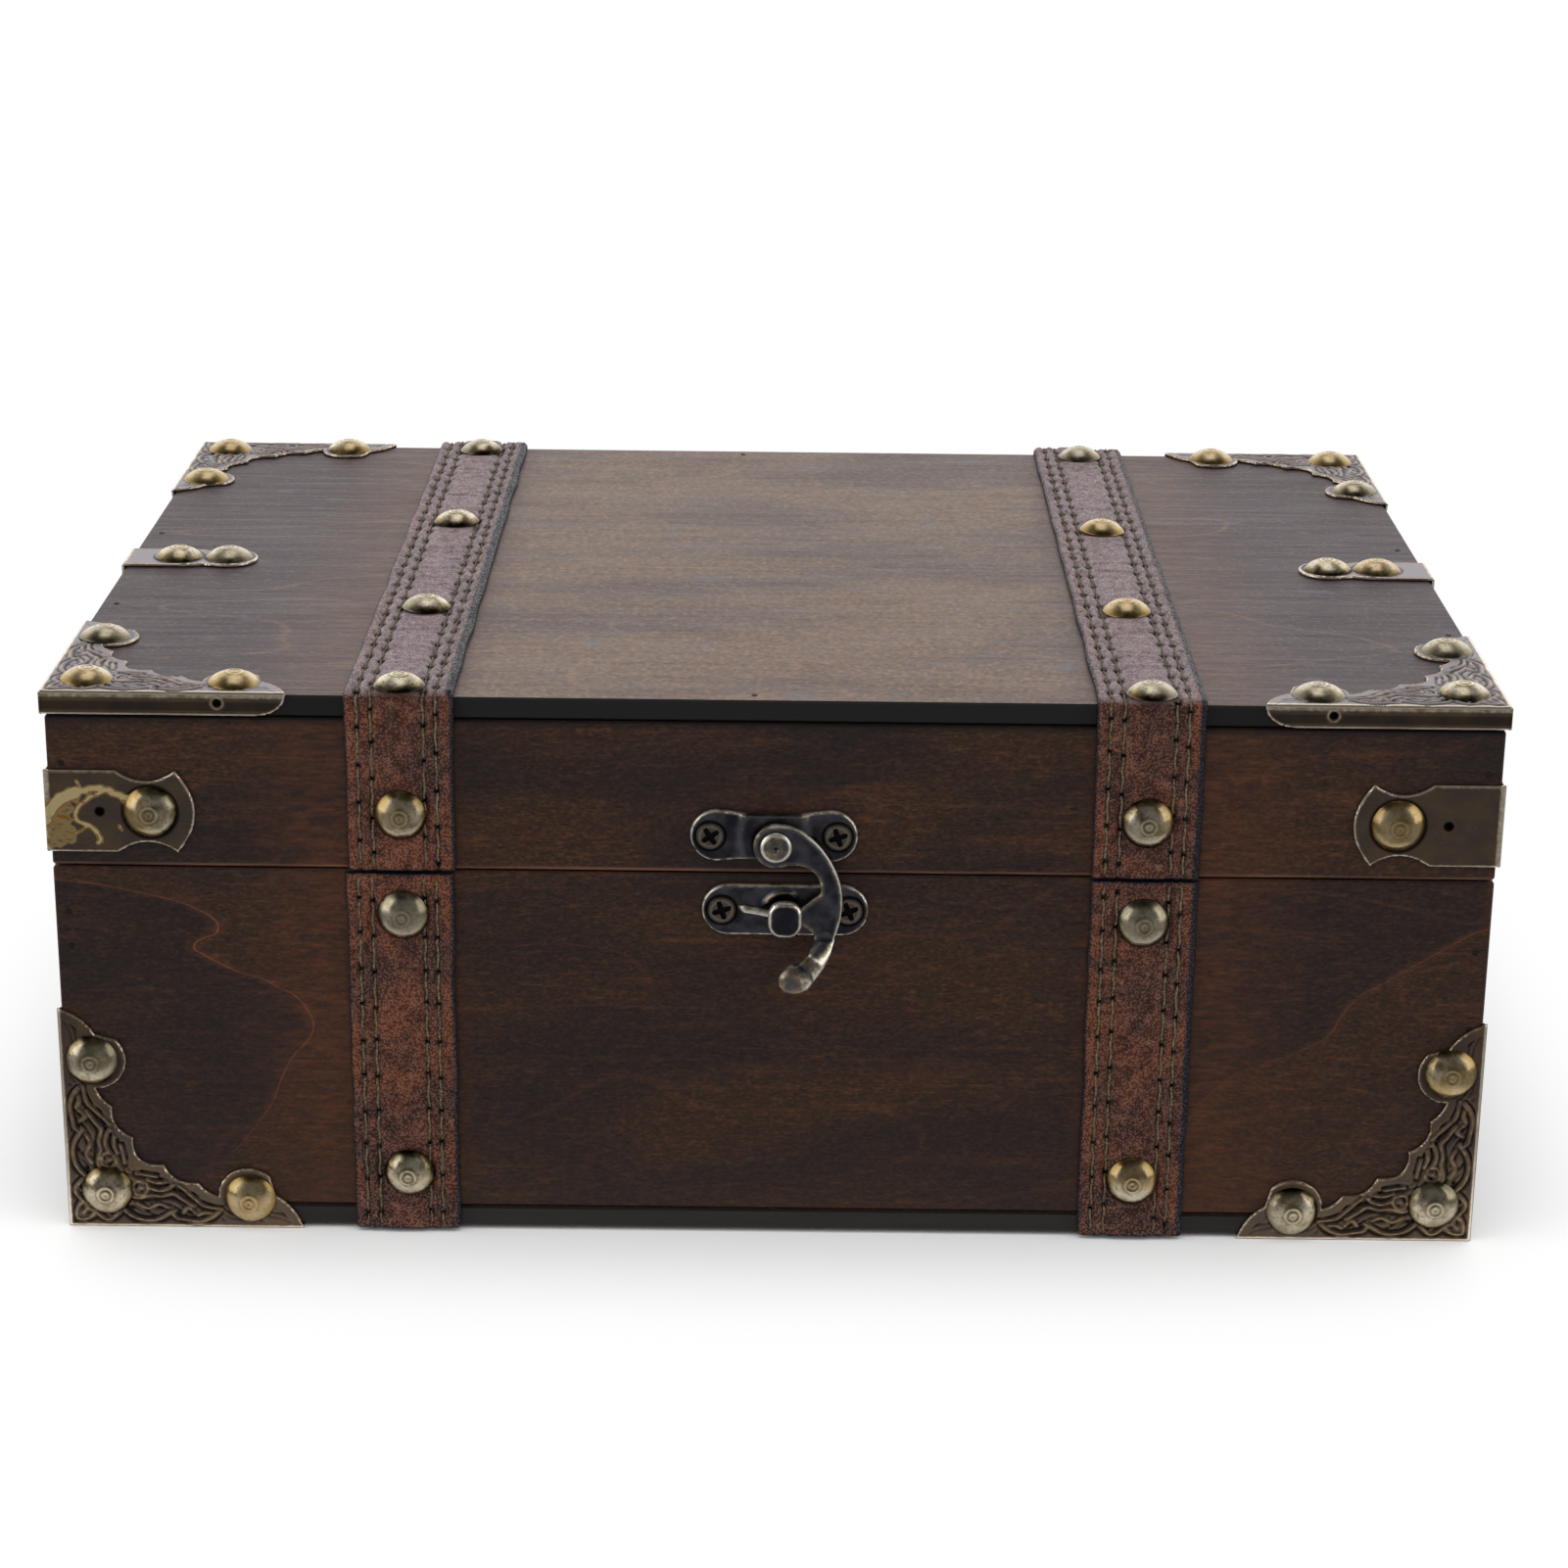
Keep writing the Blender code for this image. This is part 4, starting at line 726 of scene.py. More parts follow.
# Dome-head nails. Stamped from brass sheet over a steel shank, blackened and then tumbled, so the
# crown is rubbed back to yellow and the skirt stays dark; the punch leaves a small ring on top.
NAIL_PROFILE = (
    (0.0, 0.945), (0.04, 0.945), (0.09, 0.995), (0.13, 0.995), (0.18, 0.94), (0.23, 0.935),
    (0.27, 0.985), (0.305, 0.98), (0.36, 0.935), (0.46, 0.87), (0.57, 0.775), (0.68, 0.65),
    (0.78, 0.5), (0.87, 0.33), (0.94, 0.17), (0.98, 0.06), (1.0, 0.0), (0.985, -0.05),
    (0.93, -0.08),
)
STRAP_NAIL = 5.05
STRAP_NAIL_SEAT = 1.75
STRAP_NAIL_RISE = 2.4
BRASS_DARK = "#2a2116"
BRASS_BODY = "#978765"
BRASS_BRIGHT = "#ddd2bd"
BRASS_GREY = "#928a76"
BRASS_GOLD = "#b0925a"
nail_brass, shader, add = new_finish("tumbled_antique_brass", Metallic=1.0, Roughness=0.3)
place = add("TexCoord", {}, "Object")
lot = add("TexNoise", {"Vector": place, "Scale": 38.0, "Detail": 0.0})
blotch = add("TexNoise", {"Vector": place, "Scale": 420.0, "Detail": 4.0})
scratch = add("Mapping", {"Vector": place, "Scale": (700, 3000, 3000)})
scratch = add("TexNoise", {"Vector": scratch, "Scale": 1.0})
wear = add("Attribute", {}, "Fac", attribute_name="wear")
worn = add("Math", {0: blotch, 1: 2.0, 2: wear}, operation="MULTIPLY_ADD")
tarnish = add("TexNoise", {"Vector": place, "Scale": 1500.0, "Detail": 3.0})
colour = layered(add, BRASS_DARK, (
    (worn, 0.6, 1.6, 1.0, BRASS_BODY),
    (worn, 1.55, 2.2, 0.75, BRASS_BRIGHT),
    (tarnish, 0.52, 0.7, 0.5, BRASS_DARK),
    (lot, 0.56, 0.66, 0.5, BRASS_GREY),
    (lot, 0.52, 0.38, 0.6, BRASS_GOLD),
))
bump = add("Bump", {"Height": scratch, "Strength": 0.12, "Distance": 0.1 * MM})
rough = add("MapRange", {0: blotch, 1: 0.35, 2: 0.65, 3: 0.16, 4: 0.32})
wire(shader, {"Base Color": colour, "Roughness": rough, "Normal": bump})


def dome_nail(radius, height, tilt, turn):
    """One nail head, a little askew as hand-driven nails are."""
    profile = [(share * radius, rise * height) for share, rise in NAIL_PROFILE]
    points, faces = spun(profile, 40)
    reach = np.hypot(points[:, 0], points[:, 1]) / radius
    marks = 1 - 1.4 * ease((reach - 0.74) / 0.26)
    for ring, depth in ((0.2, -0.9), (0.29, 0.4), (0.36, -0.5)):
        marks += depth * swell(reach - ring, 0.045)
    lean = Matrix.Rotation(tilt, 4, "X") @ Matrix.Rotation(turn, 4, "Z")
    return moved((points, faces, marks), Matrix.Rotation(-turn, 4, "Z") @ lean)


def add_worn(name, shape, place, finish, body, slot, *nodes, crease=None, bare=None):
    """Put a shape that carries its wear in its place, as a piece of the chest."""
    points, faces, wear = moved(shape, place)
    marks = {"wear": wear} if bare is None else {"wear": wear, "bare": bare}
    add_piece(name, mesh_of(name, points, faces, crease, marks), finish, body, slot, *nodes)


chance = np.random.default_rng(41)
for node in sorted(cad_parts):
    if "_nail_" not in node:
        continue
    low, high = (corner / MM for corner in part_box(node))
    middle = (low + high) / 2
    if "_top_" in node:
        spot = at(TOP_FACE, middle.x, middle.y - MIDDLE, STRAP_NAIL_SEAT)
    elif "front" in node:
        spot = at(FRONT_FACE, middle.x, middle.z, STRAP_NAIL_SEAT)
    else:
        spot = at(BACK_FACE, -middle.x, middle.z, STRAP_NAIL_SEAT)
    tilt, turn = chance.normal(0, 0.035), chance.uniform(0, 6.28)
    nail = dome_nail(STRAP_NAIL, STRAP_NAIL_RISE, tilt, turn)
    add_worn(f"{node}_dome", nail, spot, nail_brass, node.split("_")[0], "aged_brass", node)

# Corner brackets. Thin steel sheet stamped with a leaf scroll and scalloped edge, folded down on
# two sides, brass plated, blackened and rubbed; three dome-head nails hold each one.
METAL_FACE = 0.8
ARM = 46.2
ARM_STUD = 35.4
STUD = 5.25
STUD_RISE = 2.35
STUD_SEAT = METAL_FACE - 0.1
LOBE = 6.1
CORNER_STUD = 7.2
LIP = 4.0
LIP_END = 5.8
FOLD = 0.6
SPARE_HOLE = 0.8
LIP_HOLE = (33.2, -1.5)
SHEET_STEP = 0.3
METAL_CREASE = 50
# Near-black of the blackening in the grooves, also used as painted shade round the nails and in the
# spare holes
BRONZE_BLACKING_AND_SHADE = "#120e0d"
BRONZE_BODY = "#5e524d"
BRONZE_WARM = "#74624c"
# Grey painted sheen on the sheet's upward faces
BRONZE_WORN = "#a18968"
BRONZE_TOP_SHEEN = "#9d98a0"
BRONZE_RUBBED = "#e6dac8"
BARE_OLIVE = "#b69d70"
BARE_EDGE = "#b07a3c"
BARE_BRASS = "#efd7a2"

bronze, shader, add = new_finish("blackened_brass_plate", Metallic=1.0, Roughness=0.4)
place = add("TexCoord", {}, "Object")
wear = add("Attribute", {}, "Fac", attribute_name="wear")
bare = add("Attribute", {}, "Fac", attribute_name="bare")
tone = add("TexNoise", {"Vector": place, "Scale": 170.0, "Detail": 4.0})
brushed = add("Mapping", {"Vector": place, "Scale": (140, 140, 2800)})
brushed = add("TexNoise", {"Vector": brushed, "Scale": 1.0, "Detail": 3.0})
fine = add("TexNoise", {"Vector": place, "Scale": 900.0, "Detail": 3.0})
even = add("Math", {0: fine, 1: 0.5}, operation="SUBTRACT")
rub = add("Math", {0: even, 1: 0.9, 2: wear}, operation="MULTIPLY_ADD")
facing = add("SeparateXYZ", {0: add("TexCoord", {}, "Normal")}, "Z")
# Where the plating is polished off, the brass shows olive, then yellow with an orange fringe
scraped = add("Mapping", {"Vector": place, "Scale": (420, 420, 1100), "Rotation": (0, 0.5, 0)})
scraped = add("TexNoise", {"Vector": scraped, "Scale": 1.0, "Detail": 3.0})
scraped = add("Math", {0: scraped, 1: 0.5}, operation="SUBTRACT")
polish_and_sheen = add("Math", {0: scraped, 1: 1.1, 2: bare}, operation="MULTIPLY_ADD")
shown = add("MapRange", {0: bare, 1: 0.05, 2: 0.25})
polish_and_sheen = add("Math", {0: polish_and_sheen, 1: shown}, operation="MULTIPLY")
colour = layered(add, BRONZE_BODY, (
    (tone, 0.35, 0.7, 0.8, BRONZE_WARM),
    (brushed, 0.5, 0.75, 0.3, BRONZE_WARM),
    # painted sheen: upward faces are painted grey
    (facing, 0.6, 0.95, 0.6, BRONZE_TOP_SHEEN),
    (rub, 0.1, 0.5, 0.85, BRONZE_WORN),
    (rub, 0.45, 1.0, 1.0, BRONZE_RUBBED),
    (wear, -0.05, -0.6, 1.0, BRONZE_BLACKING_AND_SHADE),
    (polish_and_sheen, 0.2, 0.4, 1.0, BARE_OLIVE),
    (polish_and_sheen, 0.5, 0.6, 1.0, BARE_EDGE),
    (polish_and_sheen, 0.68, 0.88, 1.0, BARE_BRASS),
))
bump = add("Bump", {"Height": brushed, "Strength": 0.1, "Distance": 0.1 * MM})
rough = add("MapRange", {0: rub, 1: 0.0, 2: 1.0, 3: 0.46, 4: 0.3})
wire(shader, {"Base Color": colour, "Roughness": rough, "Normal": bump})


def arc(centre, radius, first, last, steps):
    """Points on a circle between two angles in degrees."""
    angles = np.radians(np.linspace(first, last, steps + 1))
    return [(centre[0] + radius * math.cos(a), centre[1] + radius * math.sin(a)) for a in angles]


def bowed(start, end, bulge, steps):
    """Points after start up to end on a shallow curve that bulges to the left."""
    start, end = Vector(start), Vector(end)
    side = Vector((start.y - end.y, end.x - start.x)).normalized()
    shares = [step / steps for step in range(1, steps + 1)]
    return [tuple(start.lerp(end, t) + side * bulge * 4 * t * (1 - t)) for t in shares]


def round_hole(centre, radius):
    """Outline of a punched hole."""
    return arc(centre, radius, 0, 345, 23)


def looped(outline):
    """An outline with its first point again at the end."""
    return outline + outline[:1]


def evenly(outline, step):
    """A closed outline with a point at least every step, its corners kept."""
    points = []
    for start, end in zip(outline, outline[1:] + outline[:1]):
        parts = max(1, math.ceil(math.dist(start, end) / step))
        points += [
            tuple(a + (b - a) * part / parts for a, b in zip(start, end)) for part in range(parts)
        ]
    return points


def distance_to(points, line):
    """How far each point lies from a line of points."""
    line = np.asarray(line, float)
    start, step = line[:-1], np.diff(line, axis=0)
    span = np.maximum((step**2).sum(1), 1e-9)
    nearest = np.full(len(points), 1e9)
    for block in range(0, len(points), 2000):
        part = points[block:block + 2000]
        share = ((part[:, None] - start) * step).sum(2) / span
        gap = part[:, None] - start - np.clip(share, 0, 1)[..., None] * step
        nearest[block:block + 2000] = np.sqrt((gap**2).sum(2).min(1))
    return nearest


def within(points, outline):
    """Which points lie inside a closed outline."""
    ring = np.asarray(outline, float)
    after = np.roll(ring, -1, 0)
    inside = np.zeros(len(points), bool)
    for (ax, ay), (bx, by) in zip(ring, after):
        crosses = (ay > points[:, 1]) != (by > points[:, 1])
        slope = (bx - ax) / (by - ay) if by != ay else 0.0
        inside ^= crosses & (points[:, 0] < ax + slope * (points[:, 1] - ay))
    return inside


def pressed_sheet(outline, face, step=SHEET_STEP, holes=(), low=LIFT, back=False):
    """Fine mesh of a stamped sheet. Face gives height and wear from the points, in millimetres;
    the edge runs down to low, and back closes the sheet underneath."""
    rings = [evenly(outline, step)] + [evenly(hole, step * 0.7) for hole in holes]
    left, bottom = np.min(outline, 0)
    right, top = np.max(outline, 0)
    rows, columns = np.arange(bottom, top, step * 0.866), np.arange(left, right, step)
    grid = np.array([(x + (step / 2) * (n % 2), y) for n, y in enumerate(rows) for x in columns])
    keep = within(grid, rings[0])
    for ring in rings[1:]:
        keep &= ~within(grid, ring)
    grid = grid[keep]
    for ring in rings:
        grid = grid[distance_to(grid, looped(ring)) > step * 0.45]
    corners, edges = [], []
    for ring in rings:
        start = len(corners)
        corners += ring
        edges += [(start + n, start + (n + 1) % len(ring)) for n in range(len(ring))]
    spots = [Vector(p) for p in corners + grid.tolist()]
    flat, _, faces = delaunay_2d_cdt(spots, edges, [], 4, 1e-6)[:3]
    flat = np.array([tuple(p) for p in flat])
    height, wear = face(flat)
    points = np.column_stack([flat, height])
    middles = np.array([flat[list(f)].mean(0) for f in faces])
    solid = ~np.any([within(middles, ring) for ring in rings[1:]] + [np.zeros(len(faces), bool)], 0)
    faces = [tuple(f) for f, kept in zip(faces, solid) if kept]
    used = dict.fromkeys(pair for f in faces for pair in zip(f, f[1:] + f[:1]))
    rim = [(a, b) for a, b in used if (b, a) not in used]
    on_rim = sorted({corner for pair in rim for corner in pair})
    under = {corner: len(points) + n for n, corner in enumerate(on_rim)}
    lower = points[on_rim].copy()
    lower[:, 2] = low
    faces += [(b, a, under[a], under[b]) for a, b in rim]
    count = len(points)
    points = np.concatenate([points, lower])
    wear = np.concatenate([wear, wear[on_rim]])
    if back:
        floor = points[:count].copy()
        floor[:, 2] = low
        start = len(points)
        links = {c: under.get(c, start + c) for c in range(count)}
        faces += [tuple(links[c] for c in f)[::-1] for f in faces if max(f) < count]
        points = np.concatenate([points, floor])
        wear = np.concatenate([wear, np.zeros(count)])
    return points, faces, wear


def bracket_edge():
    """Scalloped edge from one arm's tip to the other's."""
    tip = (ARM, -METAL_FACE)
    shoulder, neck, outer, inner = (40.8, 6.4), (29.4, 6.0), (25.3, 9.0), (18.7, 12.9)
    half = [tip] + bowed(tip, shoulder, -0.9, 8)
    half += arc((ARM_STUD, LOBE), LOBE, 45, 165, 20) + [neck]
    half += bowed(neck, outer, 0.45, 6) + bowed(outer, inner, 1.5, 8)
    mirrored = [(y, x) for x, y in reversed(half)]
    return half + bowed(inner, mirrored[0], 2.5, 14)[:-1] + mirrored


# One arm's half of the scroll, mirrored on the other arm: bright raised lines, dark grooves
# beside them, punched dots and a small ring
RAISED = (
    ((0.6, 5.6), (-0.1, 3.6), (0.4, 1.5), (2.0, 0.8), (3.8, 1.4), (4.7, 2.5)),
    ((4.9, 2.3), (6.2, 1.0), (7.6, 0.8), (8.9, 1.9), (9.7, 3.0)),
    ((10.2, 3.3), (11.2, 2.1), (13.0, 1.1), (15.5, 0.7), (17.5, 1.1), (19.3, 2.2), (20.6, 2.9)),
    ((20.0, 2.2), (21.0, 1.2), (23.0, 0.9), (25.5, 0.6), (27.8, 1.4), (29.4, 2.7)),
    ((11.7, 6.2), (13.5, 5.6), (16.0, 6.3), (18.0, 6.0), (20.4, 6.6), (22.0, 5.4), (24.4, 3.9)),
    ((15.4, 8.0), (17.5, 7.2), (19.3, 7.6), (20.4, 8.5)),
    ((15.4, 9.6), (17.0, 9.0), (19.0, 9.1)),
    ((13.2, 10.9), (15.2, 10.7), (17.0, 10.3)),
    ((21.6, 8.3), (23.2, 6.9), (24.8, 5.3), (26.6, 3.9), (29.8, 3.4)),
    ((2.2, 2.2), (3.2, 3.2), (4.4, 2.9), (5.2, 3.4)),
    ((1.2, 3.1), (2.0, 4.4), (1.4, 5.4)),
    ((22.2, 2.4), (23.2, 3.6), (24.6, 2.4)),
    ((25.2, 1.9), (26.4, 2.5), (27.6, 2.4)),
    ((13.2, 4.4), (15.2, 3.4), (17.4, 4.3), (19.2, 3.6)),
)
CUT = (
    ((-0.2, 5.6), (-0.6, 3.2), (0.2, 0.7), (2.0, 0.1), (4.2, 0.7), (5.2, 1.2)),
    ((5.2, 1.2), (7.4, 0.1), (9.4, 1.1), (10.4, 2.1)),
    ((10.4, 2.1), (12.4, 0.5), (15.5, 0.0), (18.4, 0.6), (20.2, 1.6)),
    ((20.2, 1.6), (22.8, 0.2), (25.6, -0.1), (28.4, 0.8), (30.0, 2.3)),
    ((14.8, 6.9), (17.0, 6.5), (19.4, 6.8), (20.8, 7.6)),
    ((15.2, 8.8), (17.4, 8.1), (19.6, 8.4)),
    ((12.5, 11.2), (14.8, 10.0), (17.0, 9.7), (18.6, 9.9)),
    ((14.4, 11.5), (16.2, 11.2), (17.8, 10.9)),
    ((20.8, 8.2), (22.6, 6.4), (24.4, 4.7), (26.0, 3.4), (29.4, 2.9)),
    ((12.6, 5.1), (14.2, 4.9), (17.0, 5.3), (20.0, 5.6), (22.4, 4.4), (23.8, 3.2)),
    ((11.0, 3.6), (13.2, 1.9), (15.6, 1.4), (17.6, 1.8), (19.2, 2.8)),
    ((20.8, 2.2), (23.0, 1.6), (25.6, 1.3), (27.6, 1.9)),
)
DOTS = (
    (12.0, 3.5, 0.55), (16.2, 2.0, 0.5), (21.4, 2.5, 0.55), (24.0, 2.9, 0.5), (1.8, 3.4, 0.5),
    (3.2, 1.4, 0.45),
)
RING = (13.8, 7.8)


def smooth_line(points, steps=6):
    """A soft curve through the given points."""
    line = []
    ends = [points[0], *points, points[-1]]
    for a, b, c, d in zip(ends, ends[1:], ends[2:], ends[3:]):
        for t in np.linspace(0, 1, steps, endpoint=False):
            line.append(
                tuple(
                    0.5 * (2 * q + (r - p) * t + (2 * p - 5 * q + 4 * r - s) * t**2
                           + (3 * q - p - 3 * r + s) * t**3)
                    for p, q, r, s in zip(a, b, c, d)
                )
            )
    return line + [points[-1]]


def fold_drop(fold):
    """How far the sheet falls away over the round of a fold."""
    return FOLD - np.sqrt(np.maximum(FOLD**2 - np.clip(FOLD - fold, 0, FOLD) ** 2, 0))


def bracket_face(points):
    """The scroll: rubbed ridges, black grooves, a rim along the scalloped edge, two folds with a
    painted highlight, and painted shade round the nails.
    """
    x, y = points.T
    free = distance_to(points, bracket_edge())
    fold = np.minimum(x, y) + METAL_FACE
    half = np.column_stack([np.maximum(x, y), np.minimum(x, y)])
    line = np.min([distance_to(half, smooth_line(stroke)) for stroke in RAISED], 0)
    groove = np.min([distance_to(half, smooth_line(stroke)) for stroke in CUT], 0)
    dots = np.min([np.hypot(half[:, 0] - a, half[:, 1] - b) / r for a, b, r in DOTS], 0)
    ring = np.hypot(half[:, 0] - RING[0], half[:, 1] - RING[1])
    ridge = swell(line, 0.3) + swell(ring, 0.4)
    ridge = np.clip(ridge + swell(ring - 1.5, 0.28), 0, 1)
    # Fine wandering lines fill the ground between the drawn strokes
    u, v = half.T
    wander = 0.36 * u + 0.62 * v + 0.42 * np.sin(0.85 * u) + 0.3 * np.sin(1.5 * v + 0.7 * u)
    vein = np.cos(2 * math.pi * wander) * ease((np.minimum(line, groove) - 0.35) / 0.4)
    vein *= ease((free - 1.7) / 0.5) * ease((v - 0.3) / 0.6)
    cut = swell(groove, 0.26) + swell(dots, 1)
    cut = cut + 0.8 * swell(ring - 0.95, 0.25) + 0.7 * swell(line - 0.62, 0.26)
    cut = np.clip(cut, 0, 1) * (1 - ridge)
    rim = ease((0.42 - free) / 0.16)
    trench = swell(free - 2.1, 0.22)
    height = METAL_FACE - 0.05 - 0.3 * cut + 0.13 * ridge + 0.09 * rim - 0.08 * trench
    height += 0.07 * vein
    height -= 0.22 * ease((0.14 - free) / 0.14)
    height -= fold_drop(fold)
    ground = ease((free - 1.5) / 0.8)
    wear = 0.45 * ridge - 0.36 * cut - ground * (0.13 * (1 - ridge) + 0.2 * trench)
    wear += 0.24 * vein
    wear += (0.7 - wear) * rim
    # The folds are rubbed, and painted brighter still: a painted highlight on the round of each
    # bend
    wear = np.where(fold < 0.9, np.maximum(wear, 1.1 * ease((0.9 - fold) / 0.5)), wear)
    # Painted shade round each nail: the sheet is darkened where the dome stands over it
    studs = [(CORNER_STUD, CORNER_STUD), (ARM_STUD, LOBE), (LOBE, ARM_STUD)]
    near = np.min([np.hypot(x - a, y - b) for a, b in studs], 0)
    wear = np.where(free > 0.5, wear - 0.3 * ease((STUD + 0.5 - near) / 0.6), wear)
    return height, wear


def lip_outline():
    """The folded lip, along the arm and down the side of the wood."""
    top = METAL_FACE - FOLD
    end = [
        (ARM - LIP_END + LIP_END * math.cos(a), top - (top + LIP) * math.sin(a))
        for a in np.radians(np.linspace(0, 90, 13))
    ]
    return [(-METAL_FACE, top)] + end + [(-METAL_FACE, -LIP)]


def lip_face(points):
    """The lip: a bright rim and fold, a burr round the spare hole and a dark band between."""
    x, y = points.T
    edge = lip_outline()[1:]
    free = distance_to(points, edge)
    rim = ease((0.5 - free) / 0.2)
    hole = np.hypot(x - LIP_HOLE[0], y - LIP_HOLE[1])
    ring = swell(hole - SPARE_HOLE - 0.35, 0.25)
    height = METAL_FACE - 0.14 + 0.07 * rim + 0.14 * ring - 0.2 * ease((0.15 - free) / 0.15)
    wear = np.maximum(1.25 * rim, 0.8 * ring)
    wear = np.maximum(wear, 0.7 * ease((y + 0.8) / 0.4))
    dark = ease((1.3 - np.abs(y + 2.2)) / 0.6) * (1 - rim) * (1 - ring)
    return height, wear - 0.32 * dark


def nails_on(places):
    """Dome-head nails on a sheet, each with its own slight lean."""
    nails = []
    for place in places:
        tilt, turn = chance.normal(0, 0.03), chance.uniform(0, 6.28)
        nails.append(moved(dome_nail(STUD, STUD_RISE, tilt, turn), place))
    return gathered(nails)


def add_fitting(node, sheet, nails, place, body, bare=None):
    """A stamped sheet and its nails in their place on the chest."""
    slot, crease = "antique_bronze", METAL_CREASE
    add_worn(f"{node}_plate", sheet, place, bronze, body, slot, node, crease=crease, bare=bare)
    add_worn(f"{node}_nails", nails_on(nails), place, nail_brass, body, "aged_brass")


plate = pressed_sheet([(-METAL_FACE, -METAL_FACE)] + bracket_edge(), bracket_face)
lip = pressed_sheet(lip_outline(), lip_face, holes=[round_hole(LIP_HOLE, SPARE_HOLE)])
facing_down = framed((0, 0, 0), X_AXIS, Z_AXIS)
facing_side = Matrix(((0, 0, -1, 0), (1, 0, 0, 0), (0, 1, 0, 0), (0, 0, 0, 1)))
# A near-black disc under each spare hole: painted shade seen through the hole
hole_points, hole_faces = spun(((0.0, LIFT), (SPARE_HOLE + 0.1, LIFT)), 20)
hole_shade_disc = (hole_points, hole_faces, np.full(len(hole_points), -1.5))
lip = gathered([lip, moved(hole_shade_disc, Matrix.Translation((*LIP_HOLE, 0)))])
bracket = gathered([plate, moved(lip, facing_down), moved(lip, facing_side)])
bracket_nails = [
    Matrix.Translation((x, y, STUD_SEAT))
    for x, y in ((CORNER_STUD, CORNER_STUD), (ARM_STUD + 0.3, LOBE - 0.4), (LOBE - 0.6, ARM_STUD))
]
LID_CORNERS = {
    "front_left": ((-HALF_WIDTH, FRONT), X_AXIS, Y_AXIS),
    "front_right": ((HALF_WIDTH, FRONT), Y_AXIS, -X_AXIS),
    "back_left": ((-HALF_WIDTH, BACK), -Y_AXIS, X_AXIS),
    "back_right": ((HALF_WIDTH, BACK), -X_AXIS, -Y_AXIS),
}
BASE_CORNERS = {
    "front_left": ((-HALF_WIDTH, FRONT), X_AXIS, Z_AXIS),
    "front_right": ((HALF_WIDTH, FRONT), Z_AXIS, -X_AXIS),
    "back_left": ((-HALF_WIDTH, BACK), Z_AXIS, X_AXIS),
    "back_right": ((HALF_WIDTH, BACK), -X_AXIS, Z_AXIS),
}
for body, corners, height in (("lid", LID_CORNERS, WOOD_TOP), ("base", BASE_CORNERS, WOOD_BOTTOM)):
    for name, (corner, right, up) in corners.items():
        node = f"{body}_corner_{name}"
        place = framed((*corner, height), right, up)
        add_fitting(node, bracket, bracket_nails, place, body)

# Wrap plates. A fish-tailed strip of the same sheet bent round each upright corner of the lid,
# one nail in each leg; on the front left one the black is polished off in a brass swirl.
WRAP = 28.1
WRAP_HALF = 8.25
WRAP_DIP = 5.45
WRAP_SQUARE = 13.1
WRAP_HORN = 24.5
WRAP_STUD = 19.5
WRAP_HOLE = 9.8
WRAP_Z = SPLIT + 3.2 + WRAP_HALF
# Polished strokes of the swirl, each with its half width, and the thinned patches between them
SWIRL = (
    (1.25, ((-0.8, -2.0), (0.2, 0.0), (1.8, 1.9), (3.6, 3.1), (5.4, 3.8))),
    (0.75, ((5.2, 3.8), (7.4, 4.3), (9.7, 4.7), (11.4, 4.4), (13.0, 3.7), (15.3, 2.7))),
    (0.3, ((5.6, 6.1), (6.1, 5.2), (6.9, 4.4))),
    (0.45, ((11.2, 4.2), (8.4, 3.0), (6.3, 1.4), (5.1, -0.6), (5.7, -2.1), (7.7, -2.9))),
    (0.5, ((7.7, -2.9), (9.0, -4.2), (9.8, -5.6), (9.3, -6.5))),
    (0.3, ((7.6, -2.9), (6.3, -3.7), (4.9, -4.7))),
    (0.25, ((13.4, 3.3), (14.6, 1.6), (14.9, -0.8))),
    (0.22, ((13.5, -2.8), (14.0, -4.1))),
)
THINNED = (
    ((0.6, 0.6), 2.2), ((2.6, 0.6), 2.3), ((1.6, -2.4), 2.9),
    ((3.0, -4.7), 2.4), ((0.8, -5.9), 1.9), ((5.2, 3.0), 1.3),
)


def wrap_edge():
    """Outline of one leg: square at the bend, a dipped neck and a fish tail."""
    reach = (WRAP_HORN - WRAP_SQUARE) / 3
    curve = interpolate_bezier(
        Vector((WRAP_SQUARE, WRAP_HALF)),
        Vector((WRAP_SQUARE + reach, WRAP_DIP)),
        Vector((WRAP_HORN - reach, WRAP_DIP)),
        Vector((WRAP_HORN, WRAP_HALF)),
        16,
    )
    upper = [(-METAL_FACE + FOLD, WRAP_HALF)] + [tuple(point)[:2] for point in curve]
    tail = bowed(upper[-1], (WRAP_HORN, -WRAP_HALF), WRAP - WRAP_HORN, 14)[:-1]
    return upper + tail + [(x, -y) for x, y in reversed(upper)]


def plain_face(free):
    """Rim and height of a plain sheet, from how far its free edge is."""
    rim = ease((0.5 - free) / 0.2)
    return rim, METAL_FACE + 0.06 * rim - 0.2 * ease((0.14 - free) / 0.14)


def wrap_face(points):
    """Worn along its rim and bend, dark round the hole, with painted shade round the nail."""
    x, y = points.T
    rim, height = plain_face(distance_to(points, wrap_edge()))
    hole = np.hypot(x - WRAP_HOLE, y)
    fold = x + METAL_FACE - FOLD
    wear = np.maximum(0.9 * rim, 0.85 * ease((0.9 - fold) / 0.6))
    wear -= 0.5 * ease((SPARE_HOLE + 0.5 - hole) / 0.4) * (1 - rim)
    # Painted shade round the nail's dome
    wear -= 0.5 * ease((STUD + 0.9 - np.hypot(x - WRAP_STUD, y)) / 0.9) * (1 - rim)
    return height, wear


